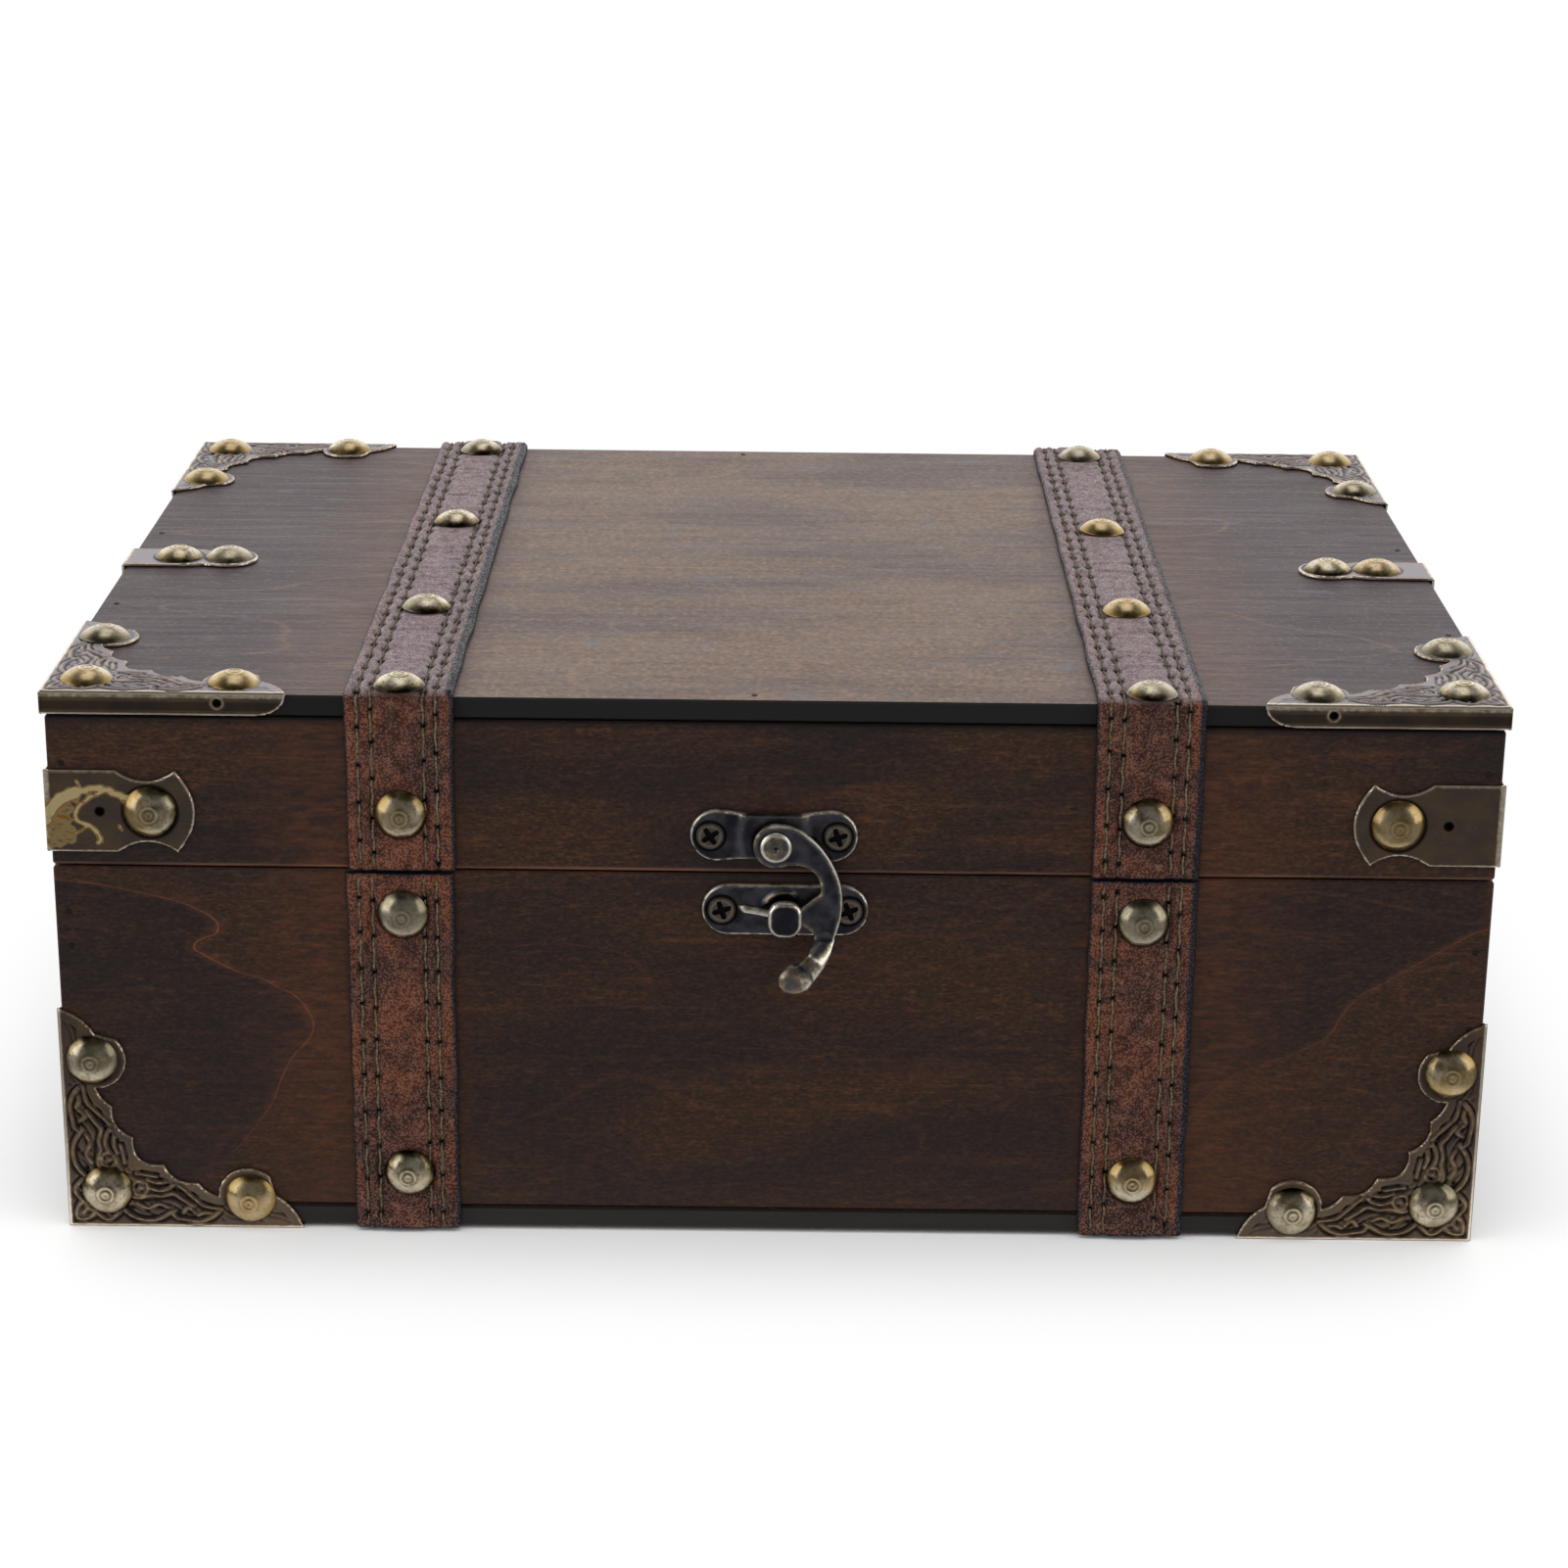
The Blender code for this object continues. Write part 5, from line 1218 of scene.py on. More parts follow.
def wrap_shape():
    """Both legs and the bend between them."""
    leg = pressed_sheet(wrap_edge(), wrap_face, holes=[round_hole((WRAP_HOLE, 0), SPARE_HOLE)])
    leg = gathered([leg, moved(hole_shade_disc, Matrix.Translation((WRAP_HOLE, 0, 0)))])
    # Quarter round of the bend, which joins the two legs at the wooden edge
    turns = np.radians(np.linspace(0, 90, 9))
    heights = np.linspace(-WRAP_HALF, WRAP_HALF, 40)
    corner = np.array(
        [
            (FOLD - METAL_FACE - FOLD * math.sin(t), FOLD - METAL_FACE - FOLD * math.cos(t), z)
            for t in turns
            for z in heights
        ]
    )
    faces = quads(len(turns), len(heights), closed=False)
    bend = (corner, faces, np.full(len(corner), 0.85))
    return gathered([moved(leg, facing_down), moved(leg, facing_side), bend])


side_leg = framed((0, 0, 0), -Y_AXIS, Z_AXIS)
wrap_nails = [
    at(facing_down, WRAP_STUD, 0, STUD_SEAT),
    at(side_leg, -WRAP_STUD, 0, STUD_SEAT),
]
wrap = wrap_shape()
# How far the black is polished off the front of one plate
spots = wrap[0][:, [0, 2]]
ragged = 0.3 * np.sin(2.1 * spots[:, 0] + 1.3 * spots[:, 1])
ragged *= np.sin(1.7 * spots[:, 1] - 0.9 * spots[:, 0])
stroke = np.min([distance_to(spots, smooth_line(line)) - half for half, line in SWIRL], 0)
patch = np.min([np.hypot(*(spots - middle).T) - reach for middle, reach in THINNED], 0)
swirl = np.maximum(
    0.46 * ease((0.3 - patch - ragged) / 0.6), ease((0.35 - stroke - 0.5 * ragged) / 0.8)
)
swirl *= wrap[0][:, 1] < 0.3 - METAL_FACE
for name, (corner, right, up) in LID_CORNERS.items():
    node = f"lid_wrap_{name}"
    place = framed((*corner, WRAP_Z), right, up)
    bare = swirl if name == "front_left" else None
    add_fitting(node, wrap, wrap_nails, place, "lid", bare)

# Side clips. A short lobed strip of the same sheet on the top, folded down over the side of the
# lid, with two dome-head nails close together.
CLIP_FIRST = 10.6
CLIP_SECOND = 21.3
CLIP_DROP = 12.0
CLIP_Y = MIDDLE - 4.4


def clip_edge():
    """Outline of the top: a straight side, a waist between the nails and a round lobe."""
    waist = ((CLIP_FIRST + CLIP_SECOND) / 2 + 0.5, 5.0)
    half = [(-METAL_FACE, LOBE), (CLIP_FIRST, LOBE)]
    half += bowed(half[-1], waist, 0.35, 5)
    half += bowed(waist, (CLIP_SECOND - 2.4, 5.7), 0.12, 3)
    half += arc((CLIP_SECOND, 0), LOBE, 112, 0, 18)
    return half + [(x, -y) for x, y in reversed(half[:-1])]


def clip_face(points):
    """Worn along its rim and fold, with painted shade round the two nails."""
    x, y = points.T
    rim, height = plain_face(distance_to(points, clip_edge()))
    fold = x + METAL_FACE
    near = np.minimum(np.hypot(x - CLIP_FIRST, y), np.hypot(x - CLIP_SECOND, y))
    wear = np.maximum(0.9 * rim, 0.8 * ease((1.1 - fold) / 0.6))
    # Painted shade round the nails' domes
    wear -= 0.5 * ease((STUD + 0.9 - near) / 0.9) * (1 - rim)
    return height - fold_drop(fold), wear


def clip_leg():
    """Outline of the leg on the side of the lid."""
    top = METAL_FACE - FOLD
    end = arc((0, LOBE - CLIP_DROP), LOBE, 180, 360, 24)
    return [(LOBE, top), (-LOBE, top)] + end


def clip_leg_face(points):
    """Worn along its rim and fold; the edge at the fold isn't free."""
    rim, height = plain_face(distance_to(points, looped(clip_leg())[1:]))
    return height, np.maximum(0.9 * rim, 0.8 * ease((points[:, 1] + 0.7) / 0.5))


clip_top = pressed_sheet(clip_edge(), clip_face)
clip = gathered([clip_top, moved(pressed_sheet(clip_leg(), clip_leg_face), side_leg)])
clip_nails = [Matrix.Translation((x, 0, STUD_SEAT)) for x in (CLIP_FIRST, CLIP_SECOND)]
for side, sign in (("left", -1), ("right", 1)):
    right = -sign * X_AXIS
    place = framed((sign * HALF_WIDTH, CLIP_Y, WOOD_TOP), right, Z_AXIS.cross(right))
    node = f"lid_clip_{side}"
    add_fitting(node, clip, clip_nails, place, "lid")

# Latch plate. Steel sheet 0.9 mm thick, pressed up in the middle to clear the rivet's flange,
# gunmetal plated; two cross-head screws hold it and the rivet carries the hook.
LATCH_Z = SPLIT + 8.0
RIVET_X, RIVET_Z = 0.4, SPLIT + 6.8
KEEPER_X, KEEPER_Z = 2.3, SPLIT - 7.2
POST_DROP = 0.5
LATCH_HALF = 16.2
LATCH_END = 5.2
LATCH_WAIST = 0.8
LATCH_FLAT = 1.2
LATCH_RAISED = 1.0
LATCH_SCREW = 12.3
SCREW_HEAD = 2.75
RIVET_HOLE = 2.1
FINE_STEP = 0.26
GUNMETAL_DARK = "#323238"
GUNMETAL_LIGHT = "#5d5c63"
# Pale blue-grey that is partly light rubbing and partly painted sheen beside the plate's raised
# middle
GUNMETAL_TOUCHED_AND_SHEEN = "#797980"
GUNMETAL_BRASSY = "#9a8866"
GUNMETAL_BARE = "#f0e9dc"
# Near-black for the darkened rings and hollows, and painted shade under the hook, round the post
# and in the rivet's dimple
GUNMETAL_RECESS_AND_SHADE = "#0b0a0a"
SCREW_BODY = "#584e46"
SCREW_SOIL = "#2a2522"
SCREW_WORN = "#9c9182"
# Near-black painted shade in the screws' cross slots
SCREW_SLOT_SHADE = "#010101"

gunmetal, shader, add = new_finish("worn_gunmetal_plate", Metallic=1.0, Roughness=0.34)
place = add("TexCoord", {}, "Object")
wear = add("Attribute", {}, "Fac", attribute_name="wear")
tone = add("TexNoise", {"Vector": place, "Scale": 200.0, "Detail": 4.0})
fine = add("TexNoise", {"Vector": place, "Scale": 620.0, "Detail": 4.0})
even = add("Math", {0: fine, 1: 0.5}, operation="SUBTRACT")
rub = add("Math", {0: even, 1: 1.3, 2: wear}, operation="MULTIPLY_ADD")
colour = layered(add, GUNMETAL_DARK, (
    (tone, 0.38, 0.68, 1.0, GUNMETAL_LIGHT),
    (wear, 0.0, 0.16, 0.45, GUNMETAL_TOUCHED_AND_SHEEN),
    (rub, 0.26, 0.55, 0.85, GUNMETAL_BRASSY),
    (rub, 0.5, 0.85, 1.0, GUNMETAL_BARE),
    (wear, 0.0, -0.9, 1.0, GUNMETAL_RECESS_AND_SHADE),
))
bump = add("Bump", {"Height": tone, "Strength": 0.15, "Distance": 0.2 * MM})
rough = add("MapRange", {0: tone, 1: 0.3, 2: 0.7, 3: 0.28, 4: 0.44})
wire(shader, {"Base Color": colour, "Roughness": rough, "Normal": bump})

screw_steel, shader, add = new_finish("bronzed_screw_steel", Metallic=0.75, Roughness=0.4)
wear = add("Attribute", {}, "Fac", attribute_name="wear")
soil = add("TexNoise", {"Vector": add("TexCoord", {}, "Object"), "Scale": 830.0, "Detail": 3.0})
colour = layered(add, SCREW_BODY, (
    (soil, 0.45, 0.75, 0.45, SCREW_SOIL),
    (wear, 0.0, 0.8, 1.0, SCREW_WORN),
    (wear, -0.05, -0.5, 1.0, SCREW_SLOT_SHADE),
))
wire(shader, {"Base Color": colour})


def latch_edge(waist):
    """Outline of a latch plate: round ends, and long sides pinched in by the waist."""
    straight = LATCH_HALF - LATCH_END
    upper = arc((straight, 0), LATCH_END, 0, 90, 16)
    if waist:
        upper += bowed(upper[-1], (5.0, LATCH_END - waist), -0.1, 4)
    upper.append((0, LATCH_END - waist))
    top = upper + [(-x, y) for x, y in reversed(upper[:-1])]
    return top + [(x, -y) for x, y in reversed(top[1:-1])]


def screw_dark_ring(points):
    """The dark ring round each screw of a latch plate."""
    x, y = points.T
    screw = np.min([np.hypot(x - s, y) for s in (-LATCH_SCREW, LATCH_SCREW)], 0)
    return 0.8 * swell(screw - SCREW_HEAD - 0.2, 0.35)


def latch_face(points):
    """Raised middle with painted highlights on its crests and a painted reflection along its steps,
    worn rim, darker round the screws, and painted shade under the hook.
    """
    x, y = points.T
    free = distance_to(points, looped(latch_edge(LATCH_WAIST)))
    rim = ease((0.6 - free) / 0.3)
    step = ease((7.6 - np.abs(x)) / 2.8)
    height = LATCH_FLAT + LATCH_RAISED * step - 0.45 * ease((0.45 - free) / 0.45) ** 2
    height += 0.05 * rim
    # The crest line is a painted highlight on the bend of the raised middle
    crest = swell(np.abs(x) - 5.5 - 0.25 * y, 0.35)
    sunk = 1 - 0.85 * ease((6.0 - np.abs(x)) / 1.5) * (y > 0)
    wear = np.maximum(0.8 * rim * sunk, 0.6 * crest * ease((y - 2.2) / 1.6))
    # A faint painted reflection along each step of the raised middle
    step_reflection = np.abs(x) - 6.6 + 0.05 * y**2
    wear = np.maximum(wear, 0.13 * swell(step_reflection, 0.9))
    wear -= screw_dark_ring(points) * (1 - rim)
    # Painted shade round the rivet, under the hook
    eye = np.hypot(x - RIVET_X, y + LATCH_Z - RIVET_Z)
    return height, wear - 0.7 * ease((5.8 - eye) / 1.5) * (1 - rim)


def screw_face(points):
    """Low dome with the tapered cross of a cross-head screw sunk in it."""
    x, y = points.T
    reach = np.hypot(x, y) / SCREW_HEAD
    arm, far = np.minimum(np.abs(x), np.abs(y)), np.maximum(np.abs(x), np.abs(y))
    cross = ease((0.62 - 0.1 * far - arm) / 0.12) * ease((2.0 - far) / 0.25)
    dome = 0.6 * np.sqrt(np.clip(1.02 - reach**2, 0, 1))
    height = LATCH_FLAT + 0.04 + dome * (1 - 0.9 * cross)
    lip = swell(reach - 0.72, 0.1)
    # The cross and the foot of the head are painted near-black: painted shade in the slot and at
    # the foot
    return height, 0.35 * lip * (1 - cross) - 1.2 * cross - 0.4 * ease((reach - 0.86) / 0.1)


def add_plain(name, shape, place, finish, body, *nodes):
    """Add a piece of the latch, in the worn gunmetal or the steel of its screws."""
    add_worn(name, shape, place, finish, body, "latch_gunmetal", *nodes, crease=METAL_CREASE)


def add_screws(name, face, body):
    """Two screws, each turned its own way."""
    head = pressed_sheet(arc((0, 0), SCREW_HEAD, 0, 350, 35), screw_face, 0.16)
    shapes = []
    for sign in (-1, 1):
        turn = Matrix.Rotation(chance.uniform(0.1, 0.6), 4, "Z")
        shapes.append(moved(head, at(face, sign * LATCH_SCREW, 0) @ turn))
    add_plain(name, gathered(shapes), Matrix(), screw_steel, body)


latch_front = at(FRONT_FACE, 0, LATCH_Z)
rivet_front = at(FRONT_FACE, RIVET_X, RIVET_Z)
rivet_hole = round_hole((RIVET_X, RIVET_Z - LATCH_Z), RIVET_HOLE)
shape = pressed_sheet(latch_edge(LATCH_WAIST), latch_face, FINE_STEP, [rivet_hole])
add_plain("latch_plate_pressing", shape, latch_front, gunmetal, "lid", "latch_plate")
add_screws("latch_plate_screws", latch_front, "lid")

# Rivet. A hollow steel rivet that the hook swings on. Its head, a flat cone with the dimple of
# the punch, keeps the hook from coming off, and the hook has rubbed its rim bright.
RIVET_PROFILE = (
    (0.0, 4.95), (0.2, 4.98), (0.45, 5.3), (0.62, 5.44), (0.85, 5.42), (1.5, 5.24), (2.2, 5.02),
    (2.6, 4.86), (2.9, 4.66), (3.08, 4.42), (3.05, 4.22), (1.8, 4.2), (1.8, 0.35),
)
points, faces = spun(RIVET_PROFILE, 48)
reach = np.hypot(points[:, 0], points[:, 1])
# The punch's dimple is painted dark: painted shade in the hollow; the rim is rubbed bright
wear = 0.42 + 0.65 * ease((reach - 2.25) / 0.4) - 0.8 * ease((0.5 - reach) / 0.3)
shape = (points, faces, wear)
add_plain("latch_rivet_head", shape, rivet_front, gunmetal, "lid", "latch_rivet")

# Keeper. The same blank left flat, with a riveted post whose square-shouldered head the hook
# hangs behind, and a rib pressed out of the plate that braces the post.
POST_NECK = 1.8
POST_BACK, POST_FACE = 4.2, 5.8
HEAD_WIDE, HEAD_HIGH = 3.3, 3.6
RIB_RINGS, RIB_SIDES = 14, 9


def keeper_face(points):
    """Flat plate with a low boss round the post, worn rim, darker round the screws, and painted
    shade round the post.
    """
    x, y = points.T
    free = distance_to(points, looped(latch_edge(0)))
    rim = ease((0.6 - free) / 0.3)
    height = LATCH_FLAT - 0.45 * ease((0.45 - free) / 0.45) ** 2 + 0.05 * rim
    post = np.hypot(x, y + POST_DROP)
    boss = swell(post - 4.3, 0.6) * ease((y - 0.6) / 1.6) * ease((3.0 - x) / 2.0)
    height += 0.8 * boss
    wear = np.maximum(0.8 * rim, 0.6 * boss) - screw_dark_ring(points) * (1 - rim)
    # Painted shade round the post, under its head
    return height, wear - 0.6 * ease((4.5 - post) / 2.0) * (1 - rim) * (1 - boss)


def head_edge():
    """Circle with its sides cut flat and the corners eased."""
    corner = 2.75
    quarter = arc((HEAD_WIDE - corner, HEAD_HIGH - corner), corner, 0, 90, 8)
    top = quarter + [(-x, y) for x, y in reversed(quarter)]
    return top + [(-x, -y) for x, y in top]


def head_face(points):
    """Flat face of the post's head with its edge rounded and rubbed."""
    free = distance_to(points, looped(head_edge()))
    height = POST_FACE - 0.55 * ease((0.7 - free) / 0.7) ** 2
    return height, 0.95 * ease((0.85 - free) / 0.35)


def rib():
    """Half-round rib that rises from the left screw to the neck of the post."""
    points, turns = [], np.linspace(0, math.pi, RIB_SIDES)
    for t in np.linspace(0, 1, RIB_RINGS):
        centre = Vector((-9.2, 0.55)).lerp(Vector((-1.5, -POST_DROP - 0.3)), t)
        wide = 0.35 + 0.55 * ease(t * 7)
        rise = 0.1 + 0.75 * ease(t * 6) + 0.3 * t
        for a in turns:
            across, out = wide * math.cos(a), rise * math.sin(a)
            points.append((centre.x, centre.y - across, LATCH_FLAT - 0.1 + out))
    points = np.array(points)
    crest = (points[:, 2] - LATCH_FLAT) / 1.1
    faces = quads(RIB_RINGS, RIB_SIDES, turned=True, closed=False)
    return points, faces, 0.75 * ease(crest * 2.2)


keeper_front = at(FRONT_FACE, KEEPER_X, KEEPER_Z)
post = Matrix.Translation((0, -POST_DROP, 0))
neck_profile = ((POST_NECK, POST_BACK + 0.1), (POST_NECK, 2.0), (2.3, 1.5), (2.7, 1.15))
neck = spun(neck_profile, 32)
head = pressed_sheet(head_edge(), head_face, FINE_STEP, low=POST_BACK, back=True)
sheet = pressed_sheet(latch_edge(0), keeper_face, FINE_STEP)
shape = gathered([sheet, moved(neck, post), moved(head, post), rib()])
add_plain("keeper_with_post", shape, keeper_front, gunmetal, "base", "latch_keeper")
add_screws("keeper_screws", keeper_front, "base")

# Hook. Zinc casting: a flat arm that swings on the rivet and catches behind the post's head, and
# a tail that twists forward into a knob for the finger, plated gunmetal and worn bright.
PITCH = 14.5
HOOK_BACK, HOOK_FACE = 2.5, 3.9
HOOK_EYE = 4.4
HOOK_BORE = 1.92
TOOTH = KEEPER_X - RIVET_X + POST_NECK + 0.4
HOOK_VOXEL = 0.2
EDGE_BULGE = 0.06
TAIL_RINGS, TAIL_SIDES = 26, 16
# Sections of the tail: across and down in pitches, how far out, half width, slant in degrees
TAIL = (
    (0.662, -1.150, 0.00, 0.140, 4),
    (0.655, -1.320, 0.12, 0.146, -2),
    (0.612, -1.430, 0.45, 0.148, -16),
    (0.545, -1.535, 0.80, 0.146, -34),
    (0.445, -1.640, 0.97, 0.160, -46),
    (0.335, -1.735, 1.00, 0.185, -54),
)
KNOB = (0.275, -1.765)
KNOB_RADIUS, KNOB_DEPTH = 3.3, 1.9
TAIL_BACK = 6.3


def flowing(shares, steps):
    """Points on a drawn curve, from its four points as shares of the pitch."""
    ends = [(PITCH * Vector(share)).to_3d() for share in shares]
    return [tuple(point)[:2] for point in interpolate_bezier(*ends, steps)]


def hook_edge():
    """Outline of the flat arm: its outer side, the wrist, the tooth, the crook and the eye."""
    outer = flowing(((0.063, 0.297), (0.461, 0.303), (0.891, -0.280), (0.891, -0.760)), 22)[1:]
    heel = flowing(((0.891, -0.760), (0.891, -0.950), (0.859, -1.120), (0.802, -1.260)), 10)[1:]
    wrist = [(0.524 * PITCH, -1.240 * PITCH)]
    tip = [(TOOTH, -1.050 * PITCH), (TOOTH, -0.915 * PITCH)]
    crook = flowing(((0.595, -0.665), (0.625, -0.480), (0.545, -0.330), (0.314, -0.262)), 12)
    return outer + heel + wrist + tip + crook + arc((0, 0), HOOK_EYE, -62, -282, 30)


def hook_tail():
    """Oval sections that swing outward in front of the post's head, then the knob."""
    start = (HOOK_BACK + HOOK_FACE) / 2
    rise = TAIL_BACK + KNOB_DEPTH - start
    turns = np.arange(TAIL_SIDES) * math.pi / 8
    points = []
    sections = np.array(TAIL)
    for t in np.linspace(0, len(TAIL) - 1, TAIL_RINGS):
        across, down, out, half, slant = (
            float(np.interp(t, range(len(TAIL)), sections[:, k])) for k in range(5)
        )
        centre = Vector((across * PITCH, down * PITCH, start + out * rise))
        angle = math.radians(slant)
        wide = half * PITCH * Vector((math.cos(angle), math.sin(angle), 0))
        lean = 4 * out * (1 - out)
        thick = (0.7 + 0.5 * out) * Vector((0, lean, 1)).normalized()
        points += [centre + wide * math.cos(a) + thick * math.sin(a) for a in turns.tolist()]
    tail = (np.array([tuple(p) for p in points]), tube(TAIL_RINGS, TAIL_SIDES))
    ball = [
        (KNOB_RADIUS * math.sin(a), KNOB_DEPTH * math.cos(a)) for a in np.linspace(0, math.pi, 15)
    ]
    ball[0], ball[-1] = (0.0, KNOB_DEPTH), (0.0, -KNOB_DEPTH)
    place = Matrix.Translation((KNOB[0] * PITCH, KNOB[1] * PITCH, TAIL_BACK + KNOB_DEPTH))
    place = place @ Matrix.Rotation(0.25, 4, "Z") @ Matrix.Diagonal((1.08, 0.92, 1, 1))
    return [tail, moved(spun(ball, 32), place)]


def flat_face(points):
    """The arm is flat; its wear is found on the finished casting."""
    return np.full(len(points), HOOK_FACE), np.zeros(len(points))


def rub_edges(mesh, reach):
    """Mark how far each point stands out from its neighbours, where hands rub the metal."""
    count = len(mesh.vertices)
    places, normals = np.zeros(count * 3), np.zeros(count * 3)
    mesh.vertices.foreach_get("co", places)
    mesh.vertices.foreach_get("normal", normals)
    places, normals = places.reshape(-1, 3) / MM, normals.reshape(-1, 3)
    edges = np.zeros(len(mesh.edges) * 2, int)
    mesh.edges.foreach_get("vertices", edges)
    a, b = edges.reshape(-1, 2).T
    meets = np.maximum(np.bincount(a, minlength=count) + np.bincount(b, minlength=count), 1)

    def averaged(values):
        """The mean of each point's neighbours."""
        total = np.zeros_like(values)
        np.add.at(total, a, values[b])
        np.add.at(total, b, values[a])
        return total / (meets[:, None] if values.ndim > 1 else meets)

    smooth = places
    for _ in range(7):
        smooth = averaged(smooth)
    bulge = ((places - smooth) * normals).sum(1)
    for _ in range(2):
        bulge = averaged(bulge)
    # Fingers have rubbed the tail and the knob, which stand out in front of the flat arm
    touched = 0.2 * ease((FRONT - HOOK_FACE - 0.8 - places[:, 1]) / 2.0)
    knob_top = RIVET_Z + KNOB[1] * PITCH + KNOB_RADIUS
    palm_side = ease((normals[:, 0] - 0.5 * normals[:, 2] + 0.25) / 0.8)
    touched *= 0.1 + 0.9 * np.maximum(palm_side, ease((knob_top - places[:, 2]) / 2.0))
    # Only its outer edge, where it rubs the palm, is worn bright
    outer = 0.4 + 0.8 * ease((normals[:, 0] + 0.4 * normals[:, 2] + 0.3) / 0.9)
    held = mesh.attributes.new("wear", "FLOAT", "POINT")
    worn_edges = np.clip(bulge / reach, -0.6, 1) * outer + touched
    held.data.foreach_set("value", worn_edges.astype(np.float32))


bore = round_hole((0, 0), HOOK_BORE)
flat = pressed_sheet(hook_edge(), flat_face, 0.4, [bore], low=HOOK_BACK, back=True)
points, faces, _ = gathered([flat, *hook_tail()])
rough_hook = bpy.data.objects.new("hook_pattern", mesh_of("hook_pattern", points, faces))
bpy.context.collection.objects.link(rough_hook)
cast = rough_hook.modifiers.new("one casting", "REMESH")
cast.mode = "VOXEL"
cast.voxel_size = HOOK_VOXEL * MM
soften = rough_hook.modifiers.new("tumbled", "SMOOTH")
soften.factor = 0.5
soften.iterations = 4
hook_mesh = bpy.data.meshes.new_from_object(
    rough_hook.evaluated_get(bpy.context.evaluated_depsgraph_get())
)
bpy.data.objects.remove(rough_hook, do_unlink=True)
hook_mesh.transform(Matrix.Diagonal((1 / MM, 1 / MM, 1 / MM, 1)))
hook_mesh.transform(rivet_front)
hook_mesh.transform(Matrix.Diagonal((MM, MM, MM, 1)))
hook_mesh.shade_smooth()
rub_edges(hook_mesh, EDGE_BULGE)
add_piece("swing_hook", hook_mesh, gunmetal, "hook", "latch_gunmetal", "latch_hook")

# Hinges. Two small brass butt hinges let into the rims of the back boards, each of two leaves,
# three knuckles and a plain pin; they keep the solids' shape and take the worn brass.
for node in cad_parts:
    if node.startswith("hinge_"):
        coat(node, nail_brass)

# The studio. White seamless paper under and behind the chest, a tall soft light at each side
# and a dark room in front of it and overhead, which the metal and the varnish mirror.
PAPER = "#f6f6f6"
paper, shader, add = new_finish("seamless_paper", Roughness=0.9, Base_Color=PAPER)
# The paper burns out to white around the chest and keeps the shadow at its foot
place = add("TexCoord", {}, "Object")
spot = add("VectorMath", {0: place}, operation="ABSOLUTE")
corner = add("VectorMath", {0: spot, 1: (0.14, 0.1, 0)}, operation="SUBTRACT")
corner = add("VectorMath", {0: corner, 1: (0, 0, 0)}, operation="MAXIMUM")
distance = add("VectorMath", {0: corner}, "Value", operation="LENGTH")
seen = add("LightPath", {}, "Is Camera Ray")
mirrored = add("LightPath", {}, "Is Glossy Ray")
shown = add("Math", {0: seen, 1: mirrored}, operation="MAXIMUM")
level = add("Mix", {"Factor": seen, "A": 0.3, "B": 1.0}, data_type="FLOAT")
white = add("Emission", {"Color": "#ffffff", "Strength": level})
share = add("MapRange", {0: distance, 1: 0.0, 2: 0.05}, interpolation_type="SMOOTHSTEP")
share = add("Math", {0: share, 1: shown}, operation="MULTIPLY")
lit = add("MixShader", {0: share, 1: shader.outputs[0], 2: white})
wire(paper.node_tree.nodes["Material Output"], {"Surface": lit})
sheet_points, sheet_faces = spun(((0.0, 0.0), (250.0, 0.0), (1500.0, 0.0), (6000.0, 0.0)), 64)
sheet_mesh = mesh_of("paper_sweep", sheet_points, [face[::-1] for face in sheet_faces])
floor = bpy.data.objects.new("paper_sweep", sheet_mesh)
bpy.context.collection.objects.link(floor)
sheet_mesh.materials.append(paper)

world = bpy.data.worlds.new("studio")
bpy.context.scene.world = world
world.use_nodes = True
add = partial(add_node, world.node_tree)
direction = add("TexCoord", {}, "Generated")
up = add("SeparateXYZ", {0: direction}, "Z")
behind = add("SeparateXYZ", {0: direction}, "Y")
backdrop = {0: behind, 1: -0.35, 2: 0.45, 3: 0.14, 4: 1.5}
backdrop = add("MapRange", backdrop, interpolation_type="SMOOTHSTEP")
ceiling = {0: up, 1: 0.45, 2: 0.9, 3: 1.0, 4: 0.15}
ceiling = add("MapRange", ceiling, interpolation_type="SMOOTHSTEP")
mirror = add("Math", {0: backdrop, 1: ceiling}, operation="MULTIPLY")
# A narrow panel hangs overhead behind the chest: it lights the middle of the nails on the top
aside = add("Math", {0: add("SeparateXYZ", {0: direction}, "X")}, operation="ABSOLUTE")
strip = {0: aside, 1: 0.1, 2: 0.36, 3: 1.35, 4: 0.0}
strip = add("MapRange", strip, interpolation_type="SMOOTHSTEP")
above = add("MapRange", {0: up, 1: 0.66, 2: 0.82}, interpolation_type="SMOOTHSTEP")
strip = add("Math", {0: strip, 1: above}, operation="MULTIPLY")
hung = add("MapRange", {0: behind, 1: -0.16, 2: 0.04}, interpolation_type="SMOOTHSTEP")
strip = add("Math", {0: strip, 1: hung}, operation="MULTIPLY")
mirror = add("Math", {0: mirror, 1: strip}, operation="MAXIMUM")
seen = add("LightPath", {}, "Is Camera Ray")
glossy = add("LightPath", {}, "Is Glossy Ray")
glass = add("LightPath", {}, "Is Transmission Ray")
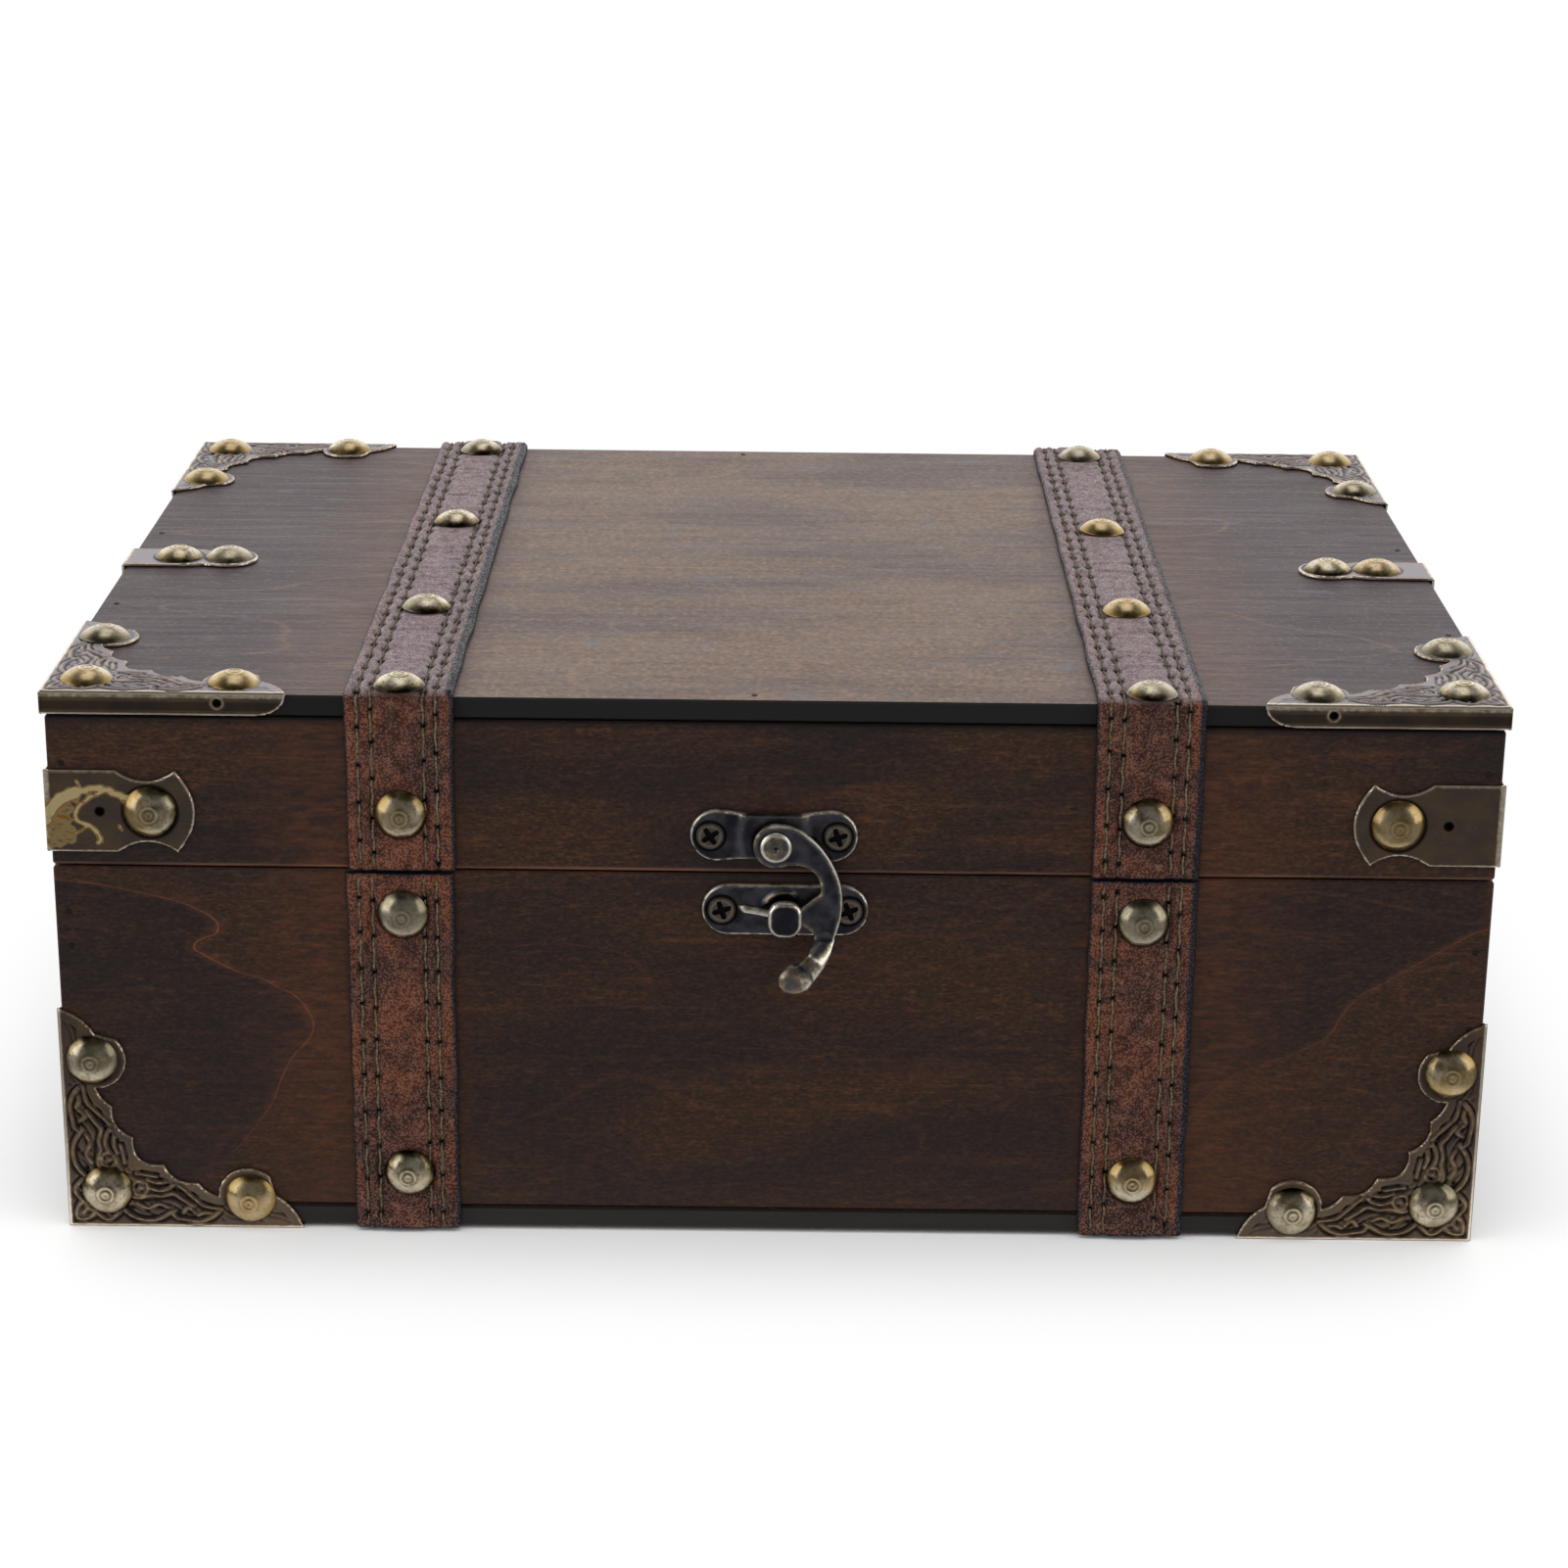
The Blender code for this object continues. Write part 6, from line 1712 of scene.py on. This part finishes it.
shining = add("Math", {0: glossy, 1: glass}, operation="MAXIMUM")
fill = {0: up, 1: -0.1, 2: 0.9, 3: 0.26, 4: 1.4}
fill = add("MapRange", fill, interpolation_type="SMOOTHSTEP")
level = add("Mix", {"Factor": shining, "A": fill, "B": mirror}, data_type="FLOAT")
level = add("Mix", {"Factor": seen, "A": level, "B": 1.0}, data_type="FLOAT")
wire(world.node_tree.nodes["Background"], {"Color": "#ffffff", "Strength": level})


def add_softbox(name, place, aim, size, power):
    """A soft light of a width and height in metres, turned to face the chest."""
    lamp = bpy.data.lights.new(name, "AREA")
    lamp.shape = "RECTANGLE"
    lamp.size, lamp.size_y = size
    lamp.energy = power
    box = bpy.data.objects.new(name, lamp)
    bpy.context.collection.objects.link(box)
    box.location = place
    box.rotation_euler = (Vector(aim) - Vector(place)).to_track_quat("-Z", "Y").to_euler()


CHEST = (0, 0, 0.06)
add_softbox("panel_left", (-1.1, -0.45, 0.5), CHEST, (0.9, 1.0), 4.4)
add_softbox("panel_right", (1.15, -0.4, 0.5), CHEST, (0.8, 1.0), 3.4)

# Camera. The photograph's own view, fitted to the corners of the chest; the lens is set 0.5 %
# longer than the fit, so that the sides of the chest meet the photo's edges.
FOCAL_PIXELS = 3662
PHOTO_PIXELS = 1601
CAMERA_PLACE = (0.0020615, -0.74718, 0.31947)
VIEW_ROWS = (
    (0.999935736, 0.00404671352, 0.0105899627),
    (0.0113307076, -0.326099988, -0.945267377),
    (-0.000371839564, 0.945326622, -0.326124883),
)
camera_data = bpy.data.cameras.new("camera")
camera_data.sensor_width = 36
camera_data.lens = FOCAL_PIXELS / PHOTO_PIXELS * camera_data.sensor_width
camera = bpy.data.objects.new("camera", camera_data)
bpy.context.collection.objects.link(camera)
rightward, downward, forward = (Vector(row) for row in VIEW_ROWS)
turned = Matrix((rightward, -downward, -forward)).transposed().to_4x4()
turned.translation = CAMERA_PLACE
camera.matrix_world = turned
bpy.context.scene.camera = camera
bpy.context.scene.view_settings.view_transform = "Standard"
